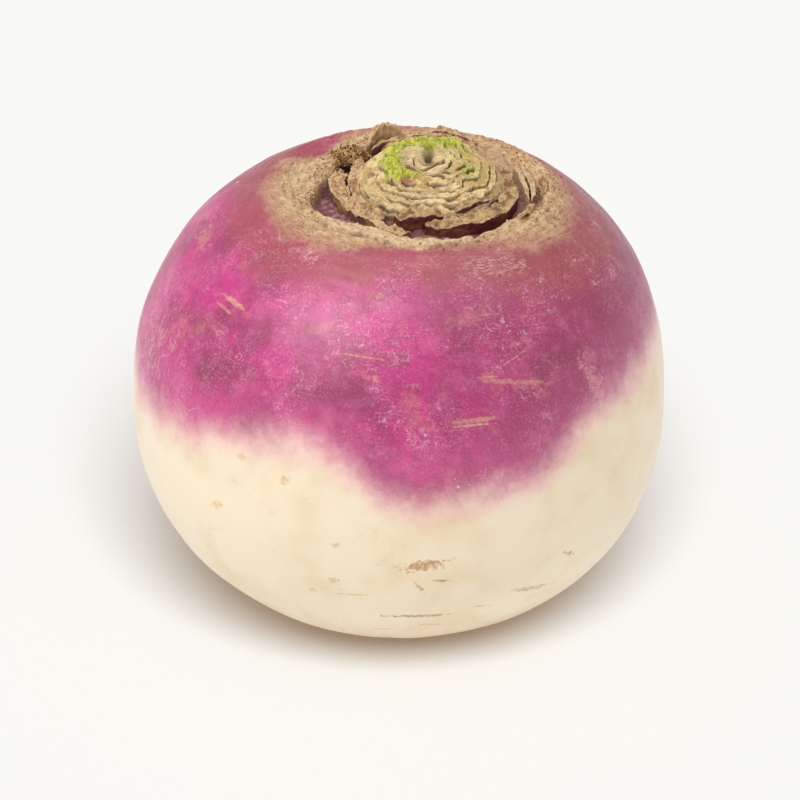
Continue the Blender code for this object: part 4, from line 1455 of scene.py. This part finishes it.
@dataclass
class HeartBed:
    """The young leaves packed round the heart and cut across, as one crinkled dome with a hole.

    Sizes are in millimetres. Rises are above the rim's plane, at distances from the crown's
    axis. Edges are where the leaves' edges lie in front, and numbers which leaf each is.
    Green edges are distances from the hole, every 30 degrees from the right.
    """

    reach: float = 12.6
    front_reach: float = 0.2
    hole_back: float = 2.4
    hole_width: float = 0.75
    hole_length: float = 1.5
    hole_depth: float = 2.0
    distances: Levels = (0.0, 1.5, 3.0, 5.0, 6.6, 8.2, 10.0, 11.3, 12.6)
    front_rises: Levels = (2.1, 2.5, 3.0, 3.2, 3.3, 2.8, 2.3, 1.6, 0.2)
    back_rises: Levels = (2.1, 2.6, 3.1, 3.5, 3.9, 4.0, 3.2, 2.0, 0.6)
    edges: Levels = (0.0, 1.5, 2.5, 3.5, 4.5, 5.5, 6.5, 8.1, 9.7, 11.2, 13.0)
    numbers: Levels = (-0.8, *(leaf + 0.63 for leaf in range(9)), 9.8)
    step: float = 0.7
    across_layer: Levels = (0.0, 0.07, 0.7, 0.84, 0.9, 0.96, 1.0)
    layer_shape: Levels = (-0.8, -0.15, 0.25, 0.45, -0.5, -1.0, -0.8)
    green_outer: Levels = (5.0, 6.4, 6.2, 5.6, 6.4, 7.3, 7.4, 8.4, 11.0, 6.0, 4.0, 4.0)
    green_inner: Levels = (5.5, 3.0, 1.2, 0.9, 1.4, 3.2, 4.4, 5.2, 7.0, 6.5, 6.0, 6.0)
    foot: float = -2.0
    rings: int = 160
    wall_rings: int = 5
    columns: int = 560
    noise: Noise = field(default_factory=lambda: Noise(71))

    def top(self, x: np.ndarray, y: np.ndarray, back: float) -> tuple[np.ndarray, Traits]:
        """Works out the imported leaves' height, and what their colour follows.

        Args:
            x: places to the right of the heart's axis.
            y: places behind it.
            back: how far that axis is behind the crown's.

        Returns:
            The rise of the top, and the attributes.
        """
        noise, place, behind_hole = self.noise, joined(x, y, 0.0), y - self.hole_back
        from_hole = np.hypot(x, behind_hole)
        smooth = ease(5.0, 3.5, from_hole) * ease(0.6, -0.8, behind_hole)
        warp = 1.1 * ease(6.5, 1.5, from_hole)
        off_x = x + warp * noise.at(place + 200.0, 2.8)
        off_y = behind_hole + warp * noise.at(place + 240.0, 2.8)
        turn = np.arctan2(off_y, off_x)
        heart, crown = np.hypot(off_x, off_y), np.hypot(x, y + back)
        outer, inner = around(self.green_outer, turn), around(self.green_inner, turn)
        green = ease(inner - 0.5, inner + 0.6, heart) * ease(outer + 0.6, outer - 0.4, heart)
        behind = ease(-0.35, 0.55, np.sin(turn))
        right = ease(0.25, 0.75, np.cos(turn)) * ease(3.0, 5.5, crown)
        left = ease(0.35, 0.85, -np.cos(turn)) * ease(8.0, 9.2, crown)

        stray = 1.1 * noise.at(place, 5.0) + 0.5 * noise.at(place + 7.0, 2.0)
        stray = stray + 0.16 * (1.0 - 0.85 * smooth) * noise.layered(place, 0.8, 3)
        wound = heart + (crown - heart) * ease(2.0, 7.5, crown) + stray
        fold = 0.8 * green * noise.layered(place + 30.0, 0.9, 2)
        part_turn = turn / (2.0 * np.pi)
        layer = np.interp(wound + fold, self.edges, self.numbers) - part_turn
        share = layer - np.floor(layer)
        sheet = joined(4.0 * (np.floor(layer) + part_turn), 0.0, 0.0)
        strength = np.clip(0.85 + 1.1 * noise.at(place + 60.0, 2.6), 0.15, 1.4) * (1.0 - 0.8 * left)
        strength = strength * (0.7 + 0.3 * ease(0.8, 3.2, heart))
        groove = ease(0.8, 0.9, share) * ease(1.0, 0.975, share) + ease(0.1, 0.0, share)

        lump = noise.ridged(place + 90.0, 2.0, 2) - 0.55
        fan = noise.ridged(joined(6.0 * turn, 0.4 * heart, 0.0), 1.1, 2) - 0.5
        crimp = 1.1 * lump + 1.1 * fan * ease(0.8, 2.4, heart) + 0.25 * noise.layered(place + 120.0, 0.7, 2)
        pleats = noise.ridged(joined(8.0 * turn, 0.5 * crown, 0.0), 0.6, 2) - 0.5
        front = np.interp(crown, self.distances, self.front_rises)
        rear = np.interp(crown, self.distances, self.back_rises)
        hole = near(x, 0.0, self.hole_width) * near(y, self.hole_back, self.hole_length)
        rise = (
            front + (rear - front) * behind
            + self.step * strength * np.interp(share, self.across_layer, self.layer_shape)
            + 0.3 * noise.at(sheet, 1.0) * (1.0 - left)
            + green * crimp
            + (0.1 + 0.16 * right) * pleats
            + 0.16 * (1.0 - 0.8 * smooth) * noise.layered(place + 150.0, 0.7, 3)
            + 0.2 * noise.at(place + 10.0, 2.4)
            - self.hole_depth * hole
        )

        cut = np.clip(strength, 0.0, 1.0)
        # Painted highlight: a thin pale line on each layer's edge, just before its groove.
        painted_edge_highlight = ease(0.66, 0.78, share) * ease(0.88, 0.82, share) * (1.0 - 0.5 * green) * cut
        pale_heart = 0.5 * ease(6.0, 4.0, heart) * (1.0 - green) * (1.0 - groove)
        leafy = green + 0.25 * behind * ease(6.0, 2.0, heart)
        # Painted shade in the grooves between layers, in the hole, in the low folds of the green leaves and
        # at the bed's outer edge.
        shade = groove * cut * (0.85 - 0.4 * green) + 1.4 * hole
        shade = shade + 0.9 * green * ease(0.15, -0.55, lump + fan) + 0.5 * ease(11.8, 12.6, crown)
        mixed = 0.25 + 0.9 * noise.at(sheet + 50.0, 1.0) + 0.7 * right - 0.6 * smooth
        traits = {
            "fresh": np.clip(np.maximum(leafy, 0.5 * right * ease(11.0, 8.0, crown)), 0.0, 1.0),
            "cut": np.ones_like(x),
            "outer": np.ones_like(x),
            "rim": np.maximum(painted_edge_highlight, pale_heart),
            "deep": np.clip(shade, 0.0, 1.0),
            "tone": np.clip(mixed, 0.0, 0.95),
            "blush": near(x, -3.5, 1.6) * near(y, -7.6, 1.2) + near(x, -9.5, 0.8) * near(y, -3.1, 1.4),
            "run": 8.0 * ((turn - 0.5 * np.pi) % (2.0 * np.pi)),
            "out": wound,
        }
        return rise, traits

    def build(self, root: Root, crown: Crown) -> bpy.types.Object:
        """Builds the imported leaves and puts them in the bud's place.

        Args:
            root: the root, for the crown's plane.
            crown: the axes at the crown.

        Returns:
            The finished piece.
        """
        back = (crown.heart[1] - crown.middle[1]) / MM
        turn = full_turn(self.columns)
        reach = self.reach + self.front_reach * ease(0.2, 0.9, -np.sin(turn))
        edge = -back * np.sin(turn) + np.sqrt(reach**2 - (back * np.cos(turn)) ** 2)
        ring = np.linspace(0.012, 1.0, self.rings)[:, None] * edge
        x, y = ring * np.cos(turn), ring * np.sin(turn)
        rise, traits = self.top(x, y, back)
        down = np.linspace(0.0, 1.0, self.wall_rings + 1)[1:, None]
        x, y = (np.concatenate([side, side[-1] * (1.0 + 0.02 * down)]) for side in (x, y))
        rise = np.concatenate([rise, rise[-1] + (self.foot - rise[-1]) * down])
        for name, values in traits.items():
            wall = np.repeat(values[-1:], self.wall_rings, axis=0)
            # The wall below the top takes painted shade of at least 0.9.
            traits[name] = np.concatenate([values, np.maximum(wall, 0.9) if name == "deep" else wall])
        traits["grain"] = joined(traits.pop("run"), traits.pop("out"), rise)
        x, y = x + crown.heart[0] / MM, y + crown.heart[1] / MM
        points = MM * joined(x, y, root.rim_plane(MM * y) / MM + rise)
        faces = shell_faces(len(points), self.columns)
        piece = make_piece("heart_bud_leaves", points, faces, traits, FINISHED[PACKED.name])
        settle(piece, "green_heart", "heart_bud")
        return piece


@dataclass
class FibreTuft:
    """The mat of dry fibres: curls grown all over an uneven lump.

    Shift, in millimetres, and share place and size the lump in the solid's box. Girth is a
    share of a curl's radius, and curls holds the smallest and largest radius, in millimetres.
    """

    density: float = 5.5e6
    girth: float = 0.12
    windings: float = 0.9
    seed: int = 4
    shift: tuple[float, float, float] = (0.9, 0.0, -0.2)
    share: tuple[float, float, float] = (1.45, 1.0, 0.75)
    curls: tuple[float, float] = (0.35, 0.95)
    columns: int = 64
    rings: int = 34

    def build(self) -> bpy.types.Object:
        """Grows the curls on the lump and puts both in the tuft's place."""
        low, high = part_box("fibre_tuft")
        middle = np.array((low + high) / 2) + np.array(self.shift) * MM
        half = np.array((high - low) / 2) * np.array(self.share)
        turn = full_turn(self.columns)
        polar = np.linspace(0.05, np.pi - 0.05, self.rings)[:, None]
        ball = joined(np.sin(polar) * np.cos(turn), np.sin(polar) * np.sin(turn), np.cos(polar))
        swell = 0.7 + 0.55 * Noise(23).layered(ball * 3.0, 2.0, 3)
        traits = {"tone": np.full_like(swell, 0.4), "crumbly": np.ones_like(swell)}
        points, faces = middle + ball * half * swell[..., None], shell_faces(self.rings, self.columns)
        mat = make_piece("fibre_tuft_mat", points, faces, traits, FINISHED[FIBRES.name])

        grower = Grower("curled_fibres")
        spread = grower.scattered("crumbly", self.density, self.seed)
        grower.grow(spread, grower.curl(self.girth, self.windings), self.curls, FINISHED[FIBRES.name])
        both = bmesh.new()
        for mesh in (mat.data, grower.run(mat)):
            both.from_mesh(mesh)
        both.to_mesh(mat.data)
        both.free()
        mat.data.shade_smooth()
        settle(mat, "dry_leaf", "fibre_tuft")
        return mat


@dataclass
class Crumbs:
    """The loose crumbs on the cork, from the smallest size to the largest, in millimetres."""

    density: float = 1.5e6
    seed: int = 8
    sizes: tuple[float, float] = (0.1, 0.3)
    squash: tuple[float, float, float] = (1.0, 0.8, 0.6)

    def build(self, host: bpy.types.Object) -> bpy.types.Object:
        """Grows the crumbs where the host is crumbly.

        Args:
            host: the piece that they lie on.

        Returns:
            The finished piece.
        """
        carrier = show("crumb_carrier", host.data)
        grower = Grower("crown_crumbs")
        spread = grower.scattered("crumbly", self.density, self.seed)
        grower.grow(spread, grower.lump(self.squash), self.sizes, FINISHED[CRUMBS.name])
        mesh = grower.run(carrier)
        bpy.data.objects.remove(carrier)
        mesh.shade_smooth()
        piece = show("crown_crumbs", mesh)
        settle(piece, "dry_leaf")
        return piece


# ---------------------------------------------------------------- floor, lights and camera


@dataclass(frozen=True)
class Lamp:
    """A far soft lamp. Come is the direction that it lies in, and spread how wide it is, in degrees."""

    name: str
    come: tuple[float, float, float]
    strength: float
    spread: float
    on_floor: bool = False

    def hang(self, floor: bpy.types.Object) -> None:
        """Adds the lamp, which lights either the floor alone or all but the floor."""
        data = bpy.data.lights.new(self.name, "SUN")
        data.energy = self.strength
        data.angle = math.radians(self.spread)
        made = show(self.name, data)
        made.rotation_euler = Vector(self.come).to_track_quat("Z", "Y").to_euler()
        lit = bpy.data.collections.new(f"{self.name}_and_floor")
        lit.objects.link(floor)
        lit.collection_objects[0].light_linking.link_state = "INCLUDE" if self.on_floor else "EXCLUDE"
        made.light_linking.receiver_collection = lit


LAMPS = (
    Lamp("soft_lamp", (-0.465, -0.43, 0.762), 1.27, 30.0),
    Lamp("overhead_lamp", (0.1, -0.1, 1.0), 0.91, 75.0),
    Lamp("front_lamp", (0.03, -0.69, 0.724), 8.2, 30.0, on_floor=True),
)


@dataclass(frozen=True)
class Studio:
    """A pale floor that glows a little, soft lamps and the camera. Lengths are in metres."""

    floor_size: float = 4.0
    floor_colour: Colour = tint(146, 153, 156)
    floor_glow: Colour = (0.228, 0.148, 0.088, 1.0)
    sky_colour: Colour = (1.0, 0.995, 0.98, 1.0)
    sky_strength: float = 0.6
    camera_distance: float = 0.7
    camera_tilt: float = 27.0
    camera_side: float = -0.001
    lens: float = 185.08
    shift: float = -0.01525

    def floor(self) -> bpy.types.Object:
        """Lays the floor under the turnip and returns it."""
        bpy.ops.mesh.primitive_plane_add(size=self.floor_size)
        made = bpy.context.object
        made.name = "floor"
        recipe = Recipe("pale_floor")
        recipe.shader.inputs["Emission Color"].default_value = self.floor_glow
        recipe.shader.inputs["Emission Strength"].default_value = 1.0
        made.data.materials.append(recipe.finish(self.floor_colour, 0.9, 0.0, 0.1))
        return made

    def lights(self, floor: bpy.types.Object) -> None:
        """Sets the even light of the room, and the lamps, of which one is the floor's own."""
        world = bpy.data.worlds.new("studio")
        bpy.context.scene.world = world
        world.use_nodes = True
        sky = world.node_tree.nodes["Background"]
        sky.inputs["Color"].default_value = self.sky_colour
        sky.inputs["Strength"].default_value = self.sky_strength
        for lamp in LAMPS:
            lamp.hang(floor)

    def camera(self, level: float) -> None:
        """Places the camera, looking down at a height on the turnip's axis."""
        data = bpy.data.cameras.new("camera")
        data.lens = self.lens
        data.shift_y = self.shift
        tilt, far = math.radians(self.camera_tilt), self.camera_distance
        made = show("camera", data)
        made.location = (self.camera_side, -far * math.cos(tilt), level + far * math.sin(tilt))
        made.rotation_euler = (0.5 * math.pi - tilt, 0.0, 0.0)
        bpy.context.scene.camera = made


def main() -> None:
    """Builds the turnip piece by piece."""
    logging.basicConfig(level=logging.INFO, format="%(name)s: %(message)s")
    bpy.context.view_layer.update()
    bpy.context.scene.view_settings.view_transform = "Standard"
    for finish in (DRY, PAPERY, PURPLE_WALLED, PINKISH, CREAMY, LEAFY, PACKED, CRUMBS, FIBRES):
        FINISHED[finish.name] = finish.material()
    root = Root()
    skin = root.build()
    crown = Crown()
    for leaf in LEAF_BASES:
        leaf.build(crown)
    HeartBed().build(root, crown)
    FibreTuft().build()
    Crumbs().build(skin)
    studio = Studio()
    floor = studio.floor()
    studio.lights(floor)
    studio.camera(root.widest)


if __name__ == "__main__":
    main()
